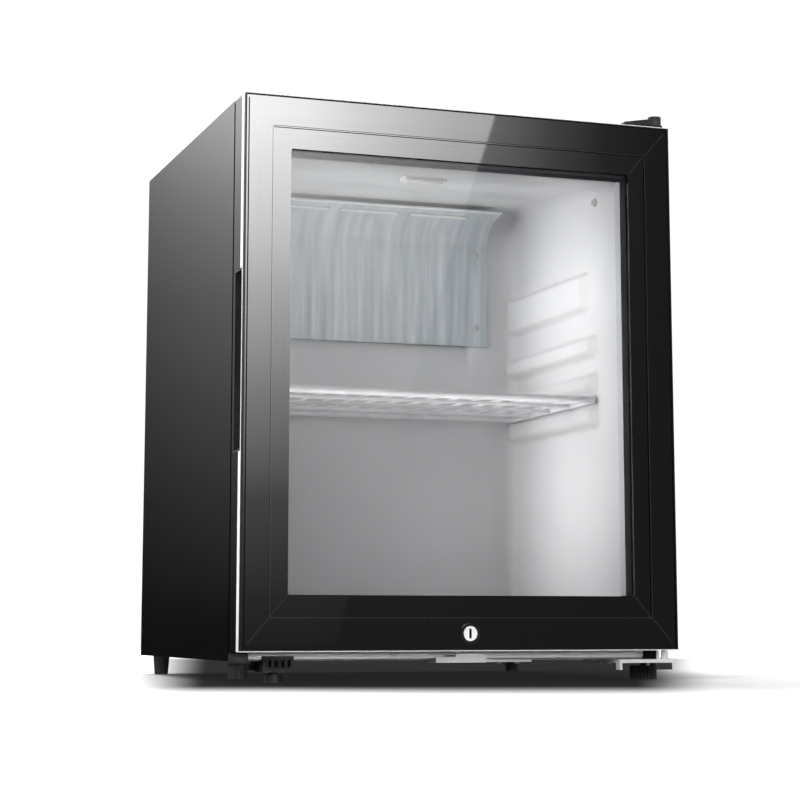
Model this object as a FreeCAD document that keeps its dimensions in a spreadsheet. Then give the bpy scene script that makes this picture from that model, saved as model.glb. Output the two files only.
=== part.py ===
import FreeCAD, Part
import math
import os
import re
import Sketcher

# Glass-door mini fridge (absorption minibar). Millimetres, +Z up, door faces -Y,
# origin at the centre of the footprint on the floor.

os.makedirs("parts", exist_ok=True)
doc = FreeCAD.newDocument("MiniFridge")
sheet = doc.addObject("Spreadsheet::Sheet", "Sizes")

sizes = {
    "width": 400,
    "front_face": -192.5,
    "door_thick": 35,
    "gasket_gap": 4,
    "cabinet_depth": 347,
    "foot_height": 18,
    "cabinet_height": 482,
    "door_bottom": 26,
    "door_top_gap": 0.8,
    "sheet_skin": 1,
    "side_wall": 32,
    "floor_wall": 32,
    "ceiling_front": 47,
    "ceiling_rear": 27,
    "liner_skin": 2,
    "interior_depth": 261,
    "back_foam": 32,
    "flange_width": 16,
    "rib_depth": 8,
    "stile_width": 41,
    "rail_height": 46.5,
    "trim_skin": 1.2,
    "groove_end": 3.5,
    "step_inset": 24,
    "glass_bite": 12,
    "pane_thick": 4,
    "spacer_thick": 12,
    "spacer_band": 0.5,
    "axis_inset": 8,
    "axis_setback": 12,
    "pin_radius": 2.2,
    "bush_radius": 4,
    "running_gap": 0.05,
    "lock_offset": 2.7,
    "lock_height": 14.9,
    "lock_radius": 6.3,
    "grip_low": 166,
    "grip_high": 322,
    "shelf_base": 235,
    "screw_radius": 1.5,
    "screw_length": 8,
    "foot_radius": 12,
    "foot_inset": 13,
    "foot_setback": 6,
    "tube_radius": 6,
    "evaporator_margin": 30,
    "boiler_inset": 58,
    "boiler_radius": 10,
    "vessel_radius": 23,
}
for row, (alias, number) in enumerate(sizes.items(), start=1):
    sheet.set("A%d" % row, alias)
    sheet.set("B%d" % row, str(number))
    sheet.setAlias("B%d" % row, alias)
doc.recompute()

aliasPattern = re.compile(r"\b(" + "|".join(sizes) + r")\b")


def bound(text):
    """An expression with every size name pointing at its cell."""
    return aliasPattern.sub(r"Sizes.\1", str(text))


def number(text):
    """The present value of a size expression, for shapes that are made in code."""
    total = aliasPattern.sub(lambda found: repr(float(sheet.get(found.group(1)))), str(text))
    tokens = re.findall(r"[-+*/()]|[0-9.]+(?:e[-+]?[0-9]+)?", total)
    return readSum(tokens)


def readSum(tokens):
    total = readProduct(tokens)
    while tokens and tokens[0] in "+-":
        sign = tokens.pop(0)
        term = readProduct(tokens)
        total = total + term if sign == "+" else total - term
    return total


def readProduct(tokens):
    total = readFactor(tokens)
    while tokens and tokens[0] in "*/":
        sign = tokens.pop(0)
        term = readFactor(tokens)
        total = total * term if sign == "*" else total / term
    return total


def readFactor(tokens):
    token = tokens.pop(0)
    if token == "-":
        return -readFactor(tokens)
    if token == "(":
        inner = readSum(tokens)
        tokens.pop(0)
        return inner
    return float(token)


# Places that many pieces share.
half = "(width / 2)"
cabinetFront = "(front_face + door_thick + gasket_gap)"
cabinetBack = "(%s + cabinet_depth)" % cabinetFront
baseZ = "foot_height"
topZ = "(foot_height + cabinet_height)"
innerX = "(width / 2 - side_wall)"
innerBack = "(%s + interior_depth)" % cabinetFront
panelY = "(%s + liner_skin + back_foam)" % innerBack
floorZ = "(foot_height + floor_wall)"
ceilFrontZ = "(%s - ceiling_front)" % topZ
ceilRearZ = "(%s - ceiling_rear)" % topZ
doorTop = "(%s - door_top_gap)" % topZ
axisX = "(width / 2 - axis_inset)"
axisY = "(front_face + axis_setback)"
doorBack = "(front_face + door_thick)"
mitreSlope = "(rail_height / stile_width)"
lockX = "lock_offset"
lockZ = "(door_bottom + lock_height)"
shelfZ = "(foot_height + shelf_base)"
plugLow = "(%s - 165)" % topZ
plugHigh = "(%s - 42)" % topZ
coverX = "(%s - evaporator_margin)" % innerX
windowX = "(%s - 23)" % coverX
boilerX = "(%s - boiler_inset)" % half

parts = []
counter = [0]


def scratch(stem):
    """A fresh name for a construction object."""
    counter[0] += 1
    return "%s_%d" % (stem, counter[0])


def keep(shapeObject, label):
    """Mark an object as a finished sub-part with its file name."""
    shapeObject.Label = label
    parts.append(shapeObject)
    return shapeObject


def box(x, y, z):
    """A block from three (low, high) pairs of expressions."""
    block = doc.addObject("Part::Box", scratch("box"))
    for prop, axis, (low, high) in zip(("Length", "Width", "Height"), "xyz", (x, y, z)):
        block.setExpression(prop, bound("(%s) - (%s)" % (high, low)))
        block.setExpression("Placement.Base." + axis, bound(low))
    return block


def rod(axis, centre, radius, length):
    """A cylinder that starts at centre and runs along +axis."""
    shape = doc.addObject("Part::Cylinder", scratch("rod"))
    turns = {
        "x": FreeCAD.Rotation(FreeCAD.Vector(0, 1, 0), 90),
        "y": FreeCAD.Rotation(FreeCAD.Vector(1, 0, 0), -90),
        "z": FreeCAD.Rotation(),
    }
    shape.Placement = FreeCAD.Placement(FreeCAD.Vector(), turns[axis])
    shape.setExpression("Radius", bound(radius))
    shape.setExpression("Height", bound(length))
    for letter, place in zip("xyz", centre):
        shape.setExpression("Placement.Base." + letter, bound(place))
    return shape


def cone(centre, lowRadius, highRadius, height):
    shape = doc.addObject("Part::Cone", scratch("cone"))
    shape.setExpression("Radius1", bound(lowRadius))
    shape.setExpression("Radius2", bound(highRadius))
    shape.setExpression("Height", bound(height))
    for letter, place in zip("xyz", centre):
        shape.setExpression("Placement.Base." + letter, bound(place))
    return shape


def fuse(pieces):
    if len(pieces) == 1:
        return pieces[0]
    joined = doc.addObject("Part::MultiFuse", scratch("fuse"))
    joined.Shapes = pieces
    joined.Refine = True
    return joined


def cut(base, tools):
    result = doc.addObject("Part::Cut", scratch("cut"))
    result.Base = base
    result.Tool = fuse(tools)
    result.Refine = True
    return result


def group(pieces):
    """Several separate solids in one sub-part."""
    result = doc.addObject("Part::Compound", scratch("group"))
    result.Links = pieces
    return result


def prism(role, points, start, length):
    """A polygon on an origin plane, padded along the plane's positive axis."""
    body = doc.addObject("PartDesign::Body", scratch("body"))
    sketch = body.newObject("Sketcher::SketchObject", scratch("outline"))
    plane = [item for item in body.Origin.OriginFeatures if item.Role == role][0]
    sketch.AttachmentSupport = [(plane, "")]
    sketch.MapMode = "FlatFace"
    values = [(number(a), number(b)) for a, b in points]
    count = len(points)
    for i in range(count):
        here = FreeCAD.Vector(values[i][0], values[i][1], 0)
        there = FreeCAD.Vector(values[(i + 1) % count][0], values[(i + 1) % count][1], 0)
        sketch.addGeometry(Part.LineSegment(here, there), False)
    for i in range(count):
        sketch.addConstraint(Sketcher.Constraint("Coincident", i, 2, (i + 1) % count, 1))
    for i in range(count):
        for kind, place, text in (
            ("DistanceX", values[i][0], points[i][0]),
            ("DistanceY", values[i][1], points[i][1]),
        ):
            index = sketch.addConstraint(Sketcher.Constraint(kind, -1, 1, i, 1, place))
            sketch.setExpression("Constraints[%d]" % index, bound(text))
    pad = body.newObject("PartDesign::Pad", scratch("pad"))
    pad.Profile = sketch
    pad.setExpression("Length", bound(length))
    pad.Reversed = role == "XZ_Plane"
    letter = {"XY_Plane": "z", "XZ_Plane": "y", "YZ_Plane": "x"}[role]
    body.setExpression("Placement.Base." + letter, bound(start))
    return body


def screwSet(axis, sign, seats):
    """Pan-head screws. Each head sits outside its seat and the shank runs in."""
    solids = []
    length = "screw_length"
    headRadius = "2 * screw_radius"
    headHeight = "1.8"
    index = "xyz".index(axis)
    for seat in seats:
        headStart = list(seat)
        shankStart = list(seat)
        if sign > 0:
            shankStart[index] = "(%s) - (%s)" % (seat[index], length)
        else:
            headStart[index] = "(%s) - (%s)" % (seat[index], headHeight)
        head = rod(axis, headStart, headRadius, headHeight)
        shank = rod(axis, shankStart, "screw_radius", length)
        slotStart = list(headStart)
        slot = crossSlot(axis, sign, slotStart, headHeight)
        solids.append(cut(fuse([head, shank]), [slot]))
    return solids


def crossSlot(axis, sign, start, headHeight):
    """The driver recess in a screw head."""
    index = "xyz".index(axis)
    deep = list(start)
    if sign > 0:
        deep[index] = "(%s) + (%s) - 1" % (start[index], headHeight)
    spans = []
    for other in range(3):
        if other == index:
            continue
        ranges = []
        for k in range(3):
            if k == index:
                ranges.append((deep[k], "(%s) + 1" % deep[k]))
            elif k == other:
                ranges.append(("(%s) - 1.9" % deep[k], "(%s) + 1.9" % deep[k]))
            else:
                ranges.append(("(%s) - 0.35" % deep[k], "(%s) + 0.35" % deep[k]))
        spans.append(box(*ranges))
    return fuse(spans)


def screwHoles(axis, seats, before, length):
    """Clearance for the shanks: rods of the shank's radius."""
    index = "xyz".index(axis)
    tools = []
    for seat in seats:
        start = list(seat)
        start[index] = "(%s) - (%s)" % (seat[index], before)
        tools.append(rod(axis, start, "screw_radius", length))
    return tools


def mirrored(places):
    """The same places on both sides of the middle plane."""
    both = []
    for x, y, z in places:
        both.append((x, y, z))
        both.append(("-(%s)" % x, y, z))
    return both


# Screw seats used by more than one piece.
topHingeSeats = [("%s - 8" % axisX, "%s + 16" % cabinetFront, "%s + 2.5" % topZ)]
topHingeSeats += [("%s - 26" % axisX, "%s + 16" % cabinetFront, "%s + 2.5" % topZ)]
topHingeSeats += [("%s - 17" % axisX, "%s + 32" % cabinetFront, "%s + 2.5" % topZ)]
lowHingeSeats = [("%s - 35" % axisX, "%s + 12" % cabinetFront, "%s - 3" % baseZ)]
lowHingeSeats += [("%s - 35" % axisX, "%s + 36" % cabinetFront, "%s - 3" % baseZ)]
lowHingeSeats += [("%s - 8" % axisX, "%s + 40" % cabinetFront, "%s - 3" % baseZ)]
strikeSeats = [("lock_offset + 45", "%s + 8" % cabinetFront, "%s - 2" % baseZ)]
strikeSeats += [("lock_offset + 62", "%s + 8" % cabinetFront, "%s - 2" % baseZ)]
evaporatorSeats = mirrored([("%s - 13" % coverX, "%s - 3" % innerBack, "%s - 74" % topZ)])
evaporatorSeats += mirrored([("%s - 13" % coverX, "%s - 3" % innerBack, "%s - 150" % topZ)])
unitSeats = mirrored([("%s - 15" % coverX, "%s + 2.2" % panelY, "%s - 6" % plugLow)])
unitSeats += mirrored([("%s - 15" % coverX, "%s + 2.2" % panelY, "%s + 6" % plugHigh)])
footX = "(width / 2 - foot_inset)"
footY = "(%s + foot_setback)" % cabinetFront
leftFootX = "(-(width / 2) + 41)"
leftFootY = "(%s + 6)" % cabinetFront
rearFootY = "(%s - 32)" % cabinetBack
rearFootX = "(width / 2 - 14)"


def buildShell():
    skin = "sheet_skin"
    outer = box(("-" + half, half), (cabinetFront, cabinetBack), (baseZ, topZ))
    inner = box(
        ("-%s + %s" % (half, skin), "%s - %s" % (half, skin)),
        ("%s - 1" % cabinetFront, "%s + 1" % cabinetBack),
        ("%s - 1" % baseZ, "%s - %s" % (topZ, skin)),
    )
    wrap = cut(outer, [inner])
    plate = box(
        ("-" + half, half),
        (cabinetFront, "%s + %s" % (cabinetFront, skin)),
        (baseZ, topZ),
    )
    opening = box(
        ("-%s + flange_width" % half, "%s - flange_width" % half),
        ("%s - 1" % cabinetFront, "%s + 2" % cabinetFront),
        ("%s - 1" % baseZ, "%s - flange_width" % topZ),
    )
    front = cut(plate, [opening])
    rearPlate = box(
        ("-" + half, half),
        ("%s - %s" % (cabinetBack, skin), cabinetBack),
        (baseZ, topZ),
    )
    rearOpening = box(
        ("-%s + 9" % half, "%s - 9" % half),
        ("%s - 2" % cabinetBack, "%s + 1" % cabinetBack),
        ("%s - 1" % baseZ, "%s - 9" % topZ),
    )
    rear = cut(rearPlate, [rearOpening])
    body = fuse([wrap, front, rear])
    tools = [box(
        ("-%s + 22" % half, "%s - 22" % half),
        ("%s + 6" % panelY, "%s - 6" % cabinetBack),
        ("%s - 2" % topZ, "%s + 1" % topZ),
    )]
    tools += screwHoles("z", topHingeSeats, "6", "8")
    keep(cut(body, tools), "outer_shell")


def ventGrille():
    outer = box(
        ("-%s + 19" % half, "%s - 19" % half),
        ("%s + 3" % panelY, "%s - 3" % cabinetBack),
        ("%s - 3" % topZ, "%s - sheet_skin" % topZ),
    )
    raised = box(
        ("-%s + 22" % half, "%s - 22" % half),
        ("%s + 6" % panelY, "%s - 6" % cabinetBack),
        ("%s - sheet_skin" % topZ, topZ),
    )
    slots = []
    for i in range(24):
        middle = "(%g * (%s - 30))" % ((i - 11.5) / 12.0, half)
        slots.append(box(
            (middle + " - 2.2", middle + " + 2.2"),
            ("%s + 9" % panelY, "%s - 9" % cabinetBack),
            ("%s - 4" % topZ, "%s + 1" % topZ),
        ))
    keep(cut(fuse([outer, raised]), slots), "top_vent_grille")


def basePlate():
    plate = box(
        ("-%s + sheet_skin" % half, "%s - sheet_skin" % half),
        ("%s + sheet_skin" % cabinetFront, "%s - sheet_skin" % cabinetBack),
        (baseZ, "%s + 1.5" % baseZ),
    )
    tools = screwHoles("z", lowHingeSeats, "1", "8")
    tools += screwHoles("z", strikeSeats, "1", "8")
    for x, y in ((footX, footY), (leftFootX, leftFootY)):
        tools.append(rod("z", (x, y, "%s - 1" % baseZ), "3", "4"))
    for i in range(14):
        middle = "(%g * (%s - 40))" % ((i - 6.5) / 7.0, half)
        tools.append(box(
            (middle + " - 2.5", middle + " + 2.5"),
            ("%s + 12" % panelY, "%s - 12" % cabinetBack),
            ("%s - 1" % baseZ, "%s + 3" % baseZ),
        ))
    keep(cut(plate, tools), "base_plate")


def frontBeam():
    beam = box(
        ("-%s + flange_width + 1" % half, "%s - flange_width - 1" % half),
        ("%s - 2" % cabinetFront, "%s + 3" % cabinetFront),
        ("%s + 1.5" % baseZ, "%s + 7.2" % baseZ),
    )
    keep(beam, "front_beam")


def backPanel():
    panel = box(
        ("-%s + sheet_skin" % half, "%s - sheet_skin" % half),
        (panelY, "%s + sheet_skin" % panelY),
        ("%s + 1.5" % baseZ, "%s - sheet_skin" % topZ),
    )
    window = box(
        ("-" + windowX, windowX),
        ("%s - 1" % panelY, "%s + 3" % panelY),
        (plugLow, plugHigh),
    )
    keep(cut(panel, [window] + screwHoles("y", unitSeats, "9", "14")), "back_panel")


def liner():
    outerPoints = [
        (cabinetFront, "%s - liner_skin" % floorZ),
        ("%s + liner_skin" % innerBack, "%s - liner_skin" % floorZ),
        ("%s + liner_skin" % innerBack, "%s + liner_skin" % ceilRearZ),
        (cabinetFront, "%s + liner_skin" % ceilFrontZ),
    ]
    slope = "((%s - %s) / interior_depth)" % (ceilRearZ, ceilFrontZ)
    innerPoints = [
        ("%s - 10" % cabinetFront, floorZ),
        (innerBack, floorZ),
        (innerBack, ceilRearZ),
        ("%s - 10" % cabinetFront, "%s - 10 * %s" % (ceilFrontZ, slope)),
    ]
    outer = prism(
        "YZ_Plane", outerPoints,
        "-%s - liner_skin" % innerX, "2 * %s + 2 * liner_skin" % innerX,
    )
    cavity = prism("YZ_Plane", innerPoints, "-" + innerX, "2 * %s" % innerX)
    flange = box(
        ("-%s + flange_width" % half, "%s - flange_width" % half),
        (cabinetFront, "%s + liner_skin" % cabinetFront),
        ("%s + 7.2" % baseZ, "%s - flange_width" % topZ),
    )
    notch = box(
        ("-%s + flange_width" % half, "%s - flange_width" % half),
        ("%s - 1" % cabinetFront, "%s + 4" % cabinetFront),
        ("%s + 5" % baseZ, "%s + 7.2" % baseZ),
    )
    window = box(
        ("-" + windowX, windowX),
        ("%s - 1" % innerBack, "%s + 5" % innerBack),
        (plugLow, plugHigh),
    )
    hollow = cut(fuse([outer, flange]), [cavity, notch, window])
    ribs = []
    clear = "(%s + 10.5)" % shelfZ
    room = "(%s - %s)" % (ceilFrontZ, clear)
    levels = [("%s - 22" % shelfZ, shelfZ, 0)]
    for low, high, back in ((0, 0.1029, 0), (0.1794, 0.2929, 0), (0.4222, 0.6253, 20)):
        levels.append(("%s + %g * %s" % (clear, low, room), "%s + %g * %s" % (clear, high, room), back))
    for low, high, back in levels:
        for sign in ("-", ""):
            edges = ["%s%s" % (sign, innerX), "%s(%s - rib_depth)" % (sign, innerX)]
            if sign == "":
                edges.reverse()
            ribs.append(box(
                tuple(edges),
                ("%s + %d" % (cabinetFront, 54 + back), innerBack),
                (low, high),
            ))
    whole = fuse([hollow] + ribs)
    drain = rod("y", ("0", "%s - 2" % innerBack, "%s + 6" % floorZ), "4", "8")
    tools = [drain] + screwHoles("y", evaporatorSeats, "1", "9")
    keep(cut(whole, tools), "inner_liner")


def foam():
    block = box(
        ("-%s + sheet_skin" % half, "%s - sheet_skin" % half),
        ("%s + liner_skin" % cabinetFront, panelY),
        ("%s + 1.5" % baseZ, "%s - sheet_skin" % topZ),
    )
    corePoints = [
        ("%s - 5" % cabinetFront, "%s - liner_skin" % floorZ),
        ("%s + liner_skin" % innerBack, "%s - liner_skin" % floorZ),
        ("%s + liner_skin" % innerBack, "%s + liner_skin" % ceilRearZ),
        (cabinetFront, "%s + liner_skin" % ceilFrontZ),
        ("%s - 5" % cabinetFront, "%s + liner_skin" % ceilFrontZ),
    ]
    core = prism(
        "YZ_Plane", corePoints,
        "-%s - liner_skin" % innerX, "2 * %s + 2 * liner_skin" % innerX,
    )
    beamRoom = box(
        ("-%s + flange_width + 1" % half, "%s - flange_width - 1" % half),
        ("%s - 2" % cabinetFront, "%s + 3" % cabinetFront),
        (baseZ, "%s + 7.2" % baseZ),
    )
    window = box(("-" + windowX, windowX), (innerBack, "%s + 1" % panelY), (plugLow, plugHigh))
    drain = rod("y", ("0", "%s - 2" % innerBack, "%s + 6" % floorZ), "4", "back_foam + 8")
    tools = [core, beamRoom, window, drain]
    tools += screwHoles("z", topHingeSeats, "10", "12")
    tools += screwHoles("z", lowHingeSeats, "1", "14")
    tools += screwHoles("z", strikeSeats, "1", "14")
    tools += screwHoles("y", evaporatorSeats, "1", "14")
    for x, y in ((footX, footY), (leftFootX, leftFootY)):
        tools.append(rod("z", (x, y, "%s - 1" % baseZ), "3.05", "18"))
    tools += screwHoles("y", unitSeats, "9", "14")
    keep(cut(block, tools), "foam_insulation")


def evaporator():
    curve = [(-45, -37.5), (-33, -40), (-21.5, -44), (-12, -50), (-5.5, -59), (-3, -70)]
    outer = []
    for dy, dz in curve:
        outer.append(("%s + %g" % (innerBack, dy), "%s + %g" % (topZ, dz)))
    outer.append(("%s - 3" % innerBack, "%s - 170" % topZ))
    outer.append((innerBack, "%s - 170" % topZ))
    backCurve = [(0, -69), (-2.7, -57.5), (-9.7, -47.9), (-20.3, -41.6), (-32.5, -37.3), (-45, -34.8)]
    for dy, dz in backCurve:
        outer.append(("%s + %g" % (innerBack, dy), "%s + %g" % (topZ, dz)))
    plate = prism("YZ_Plane", outer, "-" + coverX, "2 * " + coverX)
    slots = []
    pitch = "((%s - 27) * 2 / 3)" % coverX
    for place in (-1, 0, 1):
        middle = "%d * %s" % (place, pitch)
        slots.append(box(
            ("%s - (%s / 2 - 6)" % (middle, pitch), "%s + (%s / 2 - 6)" % (middle, pitch)),
            ("%s - 32" % innerBack, "%s - 27" % innerBack),
            ("%s - 60" % topZ, "%s - 30" % topZ),
        ))
    tools = slots + screwHoles("y", evaporatorSeats, "1", "9")
    keep(cut(plate, tools), "evaporator_cover")

    base = box(
        ("-(%s - 3)" % windowX, "%s - 3" % windowX),
        ("%s + 16" % innerBack, "%s + 19" % innerBack),
        ("%s + 3" % plugLow, "%s - 3" % plugHigh),
    )
    fins = [base]
    for i in range(21):
        middle = "%g * (%s - 5)" % ((i - 10) / 10.0, windowX)
        fins.append(box(
            (middle + " - 0.75", middle + " + 0.75"),
            (innerBack, "%s + 16" % innerBack),
            ("%s + 3" % plugLow, "%s - 3" % plugHigh),
        ))
    keep(fuse(fins), "evaporator_fins")


def lampAndSensor():
    slope = "((%s - %s) / interior_depth)" % (ceilRearZ, ceilFrontZ)
    near = "(%s + %s * 52)" % (ceilFrontZ, slope)
    housing = box(
        ("-24", "16"),
        ("%s + 52" % cabinetFront, "%s + 68" % cabinetFront),
        ("%s - 3" % near, "%s + 0.6" % near),
    )
    wedge = prism(
        "YZ_Plane",
        [
            ("%s + 45" % cabinetFront, "%s + 45 * %s" % (ceilFrontZ, slope)),
            ("%s + 75" % cabinetFront, "%s + 75 * %s" % (ceilFrontZ, slope)),
            ("%s + 75" % cabinetFront, "%s + 30" % ceilFrontZ),
            ("%s + 45" % cabinetFront, "%s + 30" % ceilFrontZ),
        ],
        "-40", "80",
    )
    keep(cut(housing, [wedge]), "lamp_housing")
    lens = box(
        ("-21", "13"),
        ("%s + 54.5" % cabinetFront, "%s + 65.5" % cabinetFront),
        ("%s - 5.5" % near, "%s - 3" % near),
    )
    keep(lens, "lamp_lens")

    sensor = rod("x", ("%s - 3" % innerX, "%s + 55" % cabinetFront, "%s - 8" % ceilFrontZ), "4", "3")
    tip = rod("x", ("%s - 5" % innerX, "%s + 55" % cabinetFront, "%s - 8" % ceilFrontZ), "2", "2")
    keep(fuse([sensor, tip]), "sensor_cap")


def drain():
    tube = rod("y", ("0", innerBack, "%s + 6" % floorZ), "4", "liner_skin + back_foam")
    bore = rod("y", ("0", "%s - 1" % innerBack, "%s + 6" % floorZ), "2.8", "liner_skin + back_foam + 2")
    keep(cut(tube, [bore]), "drain_tube")


def shelf():
    low = "(%s + 2.6)" % shelfZ
    frontY = "(%s + 57)" % cabinetFront
    backY = "(%s - 6)" % innerBack
    sideX = "(%s - 4)" % innerX
    pieces = []
    pieces.append(rod("x", ("-" + sideX, frontY, "%s + 1" % low), "3.5", "2 * " + sideX))
    pieces.append(rod("x", ("-" + sideX, backY, low), "2.5", "2 * " + sideX))
    for sign in ("-", ""):
        pieces.append(rod("y", (sign + sideX, frontY, low), "2.5", "%s - %s" % (backY, frontY)))
        for y in (frontY, backY):
            pieces.append(rod("z", (sign + sideX, y, "%s - 2.5" % low), "2.5", "5"))
    span = "(%s - %s)" % (backY, frontY)
    for i in range(1, 4):
        place = "(%s + %s * %g)" % (frontY, span, i * 0.25)
        pieces.append(rod("x", ("-" + sideX, place, low), "1.6", "2 * " + sideX))
    for i in range(15):
        x = "(%g * (%s - 12))" % ((i - 7) / 7.0, sideX)
        pieces.append(rod("y", (x, frontY, "%s + 2.4" % low), "1.4", span))
    keep(fuse(pieces), "wire_shelf")


def hinges():
    plate = box(
        ("%s - 34" % axisX, "%s + 5" % axisX),
        ("%s - 6" % axisY, "%s + 42" % cabinetFront),
        (topZ, "%s + 2.5" % topZ),
    )
    pinHole = rod("z", (axisX, axisY, "%s - 1" % topZ), "pin_radius", "5")
    keep(cut(plate, [pinHole] + screwHoles("z", topHingeSeats, "6", "8")), "top_hinge_bracket")

    topPin = fuse([
        rod("z", (axisX, axisY, "%s - 12" % doorTop), "pin_radius", "%s - %s + 14.5" % (topZ, doorTop)),
        rod("z", (axisX, axisY, "%s + 2.5" % topZ), "3.6", "1.5"),
    ])
    keep(topPin, "top_hinge_pin")

    knuckle = rod("z", (axisX, axisY, "%s + 2.5" % topZ), "6", "8.5")
    arm = prism(
        "XZ_Plane",
        [
            ("%s - 32" % axisX, "%s + 2.5" % topZ),
            (axisX, "%s + 2.5" % topZ),
            (axisX, "%s + 8.5" % topZ),
            ("%s - 5" % axisX, "%s + 8.5" % topZ),
            ("%s - 28" % axisX, "%s + 4.5" % topZ),
            ("%s - 32" % axisX, "%s + 4" % topZ),
        ],
        "%s - 5" % axisY, "%s - %s + 9" % (cabinetFront, axisY),
    )
    pinRoom = rod("z", (axisX, axisY, "%s + 2" % topZ), "3.6", "2")
    keep(cut(fuse([knuckle, arm]), [pinRoom]), "top_hinge_cover")

    lowPlate = box(
        ("%s - 46" % axisX, "%s + 6" % axisX),
        ("%s - 5" % axisY, "%s + 46" % cabinetFront),
        ("%s - 3" % baseZ, baseZ),
    )
    hook = box(
        ("%s - 46" % axisX, "%s - 43.5" % axisX),
        ("%s - 5" % axisY, "%s + 3" % axisY),
        ("%s - 9" % baseZ, "%s - 3" % baseZ),
    )
    tools = [rod("z", (footX, footY, "%s - 4" % baseZ), "3", "5")]
    tools.append(rod("z", (axisX, axisY, "%s - 4" % baseZ), "pin_radius", "5"))
    tools.append(rod("z", ("%s - 6.4" % axisX, axisY, "%s - 4" % baseZ), "1.6", "5"))
    tools += screwHoles("z", lowHingeSeats, "1", "6")
    keep(cut(fuse([lowPlate, hook]), tools), "bottom_hinge_bracket")

    lowPin = fuse([
        rod("z", (axisX, axisY, "%s - 3" % baseZ), "pin_radius", "door_bottom - foot_height + 13"),
        rod("z", (axisX, axisY, baseZ), "3.2", "door_bottom - foot_height - 0.6"),
    ])
    rest = rod("z", ("%s - 6.4" % axisX, axisY, "%s - 3" % baseZ), "1.6", "door_bottom - foot_height + 2.4")
    keep(group([lowPin, rest]), "bottom_hinge_pins")

    nut = box(
        ("%s - 11" % axisX, "%s + 5" % axisX),
        ("%s - 5" % axisY, "%s + 7" % axisY),
        ("%s - 9" % baseZ, "%s - 3" % baseZ),
    )
    keep(nut, "bottom_hinge_block")


def strike():
    plate = box(
        ("lock_offset - 24", "lock_offset + 72"),
        ("%s - 2" % cabinetFront, "%s + 16" % cabinetFront),
        ("%s - 2" % baseZ, baseZ),
    )
    tongue = box(
        ("lock_offset - 24", "lock_offset + 22"),
        ("front_face + 21.5", "%s - 2" % cabinetFront),
        ("%s - 2" % baseZ, baseZ),
    )
    lip = box(
        ("lock_offset - 24", "lock_offset + 22"),
        ("front_face + 19.5", "front_face + 21.5"),
        ("%s - 2" % baseZ, "%s + 5.6" % baseZ),
    )
    notch = box(
        ("lock_offset - 24", "lock_offset - 6"),
        ("front_face + 19", "front_face + 22"),
        ("%s + 3" % baseZ, "%s + 6" % baseZ),
    )
    tools = [notch] + screwHoles("z", strikeSeats, "1", "6")
    keep(cut(fuse([plate, tongue, lip]), tools), "lock_strike")


def knurled(x, y, low, radius, height, grooves=22):
    barrel = rod("z", (x, y, low), radius, height)
    tools = []
    for i in range(grooves):
        angle = 2 * math.pi * i / grooves
        tools.append(rod("z", (
            "(%s) + (%s) * %.6f" % (x, radius, math.cos(angle)),
            "(%s) + (%s) * %.6f" % (y, radius, math.sin(angle)),
            "(%s) + 1.5" % low,
        ), "0.8", "(%s)" % height))
    return cut(barrel, tools)


def feet():
    wheel = knurled(footX, footY, "0", "foot_radius", "foot_height - 6")
    stem = rod("z", (footX, footY, "1"), "3 - running_gap", "foot_height + 8")
    keep(fuse([wheel, stem]), "front_foot_right")

    pad = cone((leftFootX, leftFootY, "0"), "8.4", "7", "7")
    collar = rod("z", (leftFootX, leftFootY, "6.5"), "4.5", "1.4")
    leftStem = rod("z", (leftFootX, leftFootY, "1"), "3 - running_gap", "foot_height + 8")
    keep(fuse([pad, collar, leftStem]), "front_foot_left")

    block = box(
        ("%s - 12" % leftFootX, "%s + 15" % leftFootX),
        ("%s - 5" % cabinetFront, "%s + 20" % cabinetFront),
        ("%s - 9.4" % baseZ, baseZ),
    )
    lip = box(
        ("%s - 12" % leftFootX, "%s + 15" % leftFootX),
        ("%s - 5" % cabinetFront, "%s - 2" % cabinetFront),
        (baseZ, "%s + 4" % baseZ),
    )
    brace = box(
        ("%s - 24" % leftFootX, "%s - 12" % leftFootX),
        ("%s + 17" % cabinetFront, "%s + 19" % cabinetFront),
        ("%s - 8" % baseZ, baseZ),
    )
    tools = [rod("z", (leftFootX, leftFootY, "%s - 11" % baseZ), "3", "13")]
    for i in range(4):
        start = -7.6 + i * 5.6
        tools.append(box(
            ("%s + %g" % (leftFootX, start), "%s + %g" % (leftFootX, start + 3)),
            ("%s - 6" % cabinetFront, "%s - 1" % cabinetFront),
            ("%s - 5" % baseZ, "%s + 0.8" % baseZ),
        ))
    keep(cut(fuse([block, lip, brace]), tools), "left_foot_block")

    postX = "(-%s + 10.5)" % half
    postY = "(%s + 8)" % cabinetFront
    post = knurled(postX, postY, "3.5", "8.2", "foot_height - 3.5", 18)
    cap = box(
        ("-%s + 0.5" % half, "-%s + 16.5" % half),
        ("%s - 4" % cabinetFront, cabinetFront),
        ("%s - 1" % baseZ, "%s + 6.6" % baseZ),
    )
    cap2 = box(
        ("-%s + 0.5" % half, "-%s + 19" % half),
        ("%s - 4" % cabinetFront, "%s + 16" % cabinetFront),
        ("%s - 2" % baseZ, baseZ),
    )
    keep(fuse([post, cap, cap2]), "left_corner_post")

    rears = []
    for sign in ("-", ""):
        foot = cone((sign + rearFootX, rearFootY, "0"), "6.5", "8", baseZ)
        rears.append(foot)
    keep(group(rears), "rear_feet")


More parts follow.
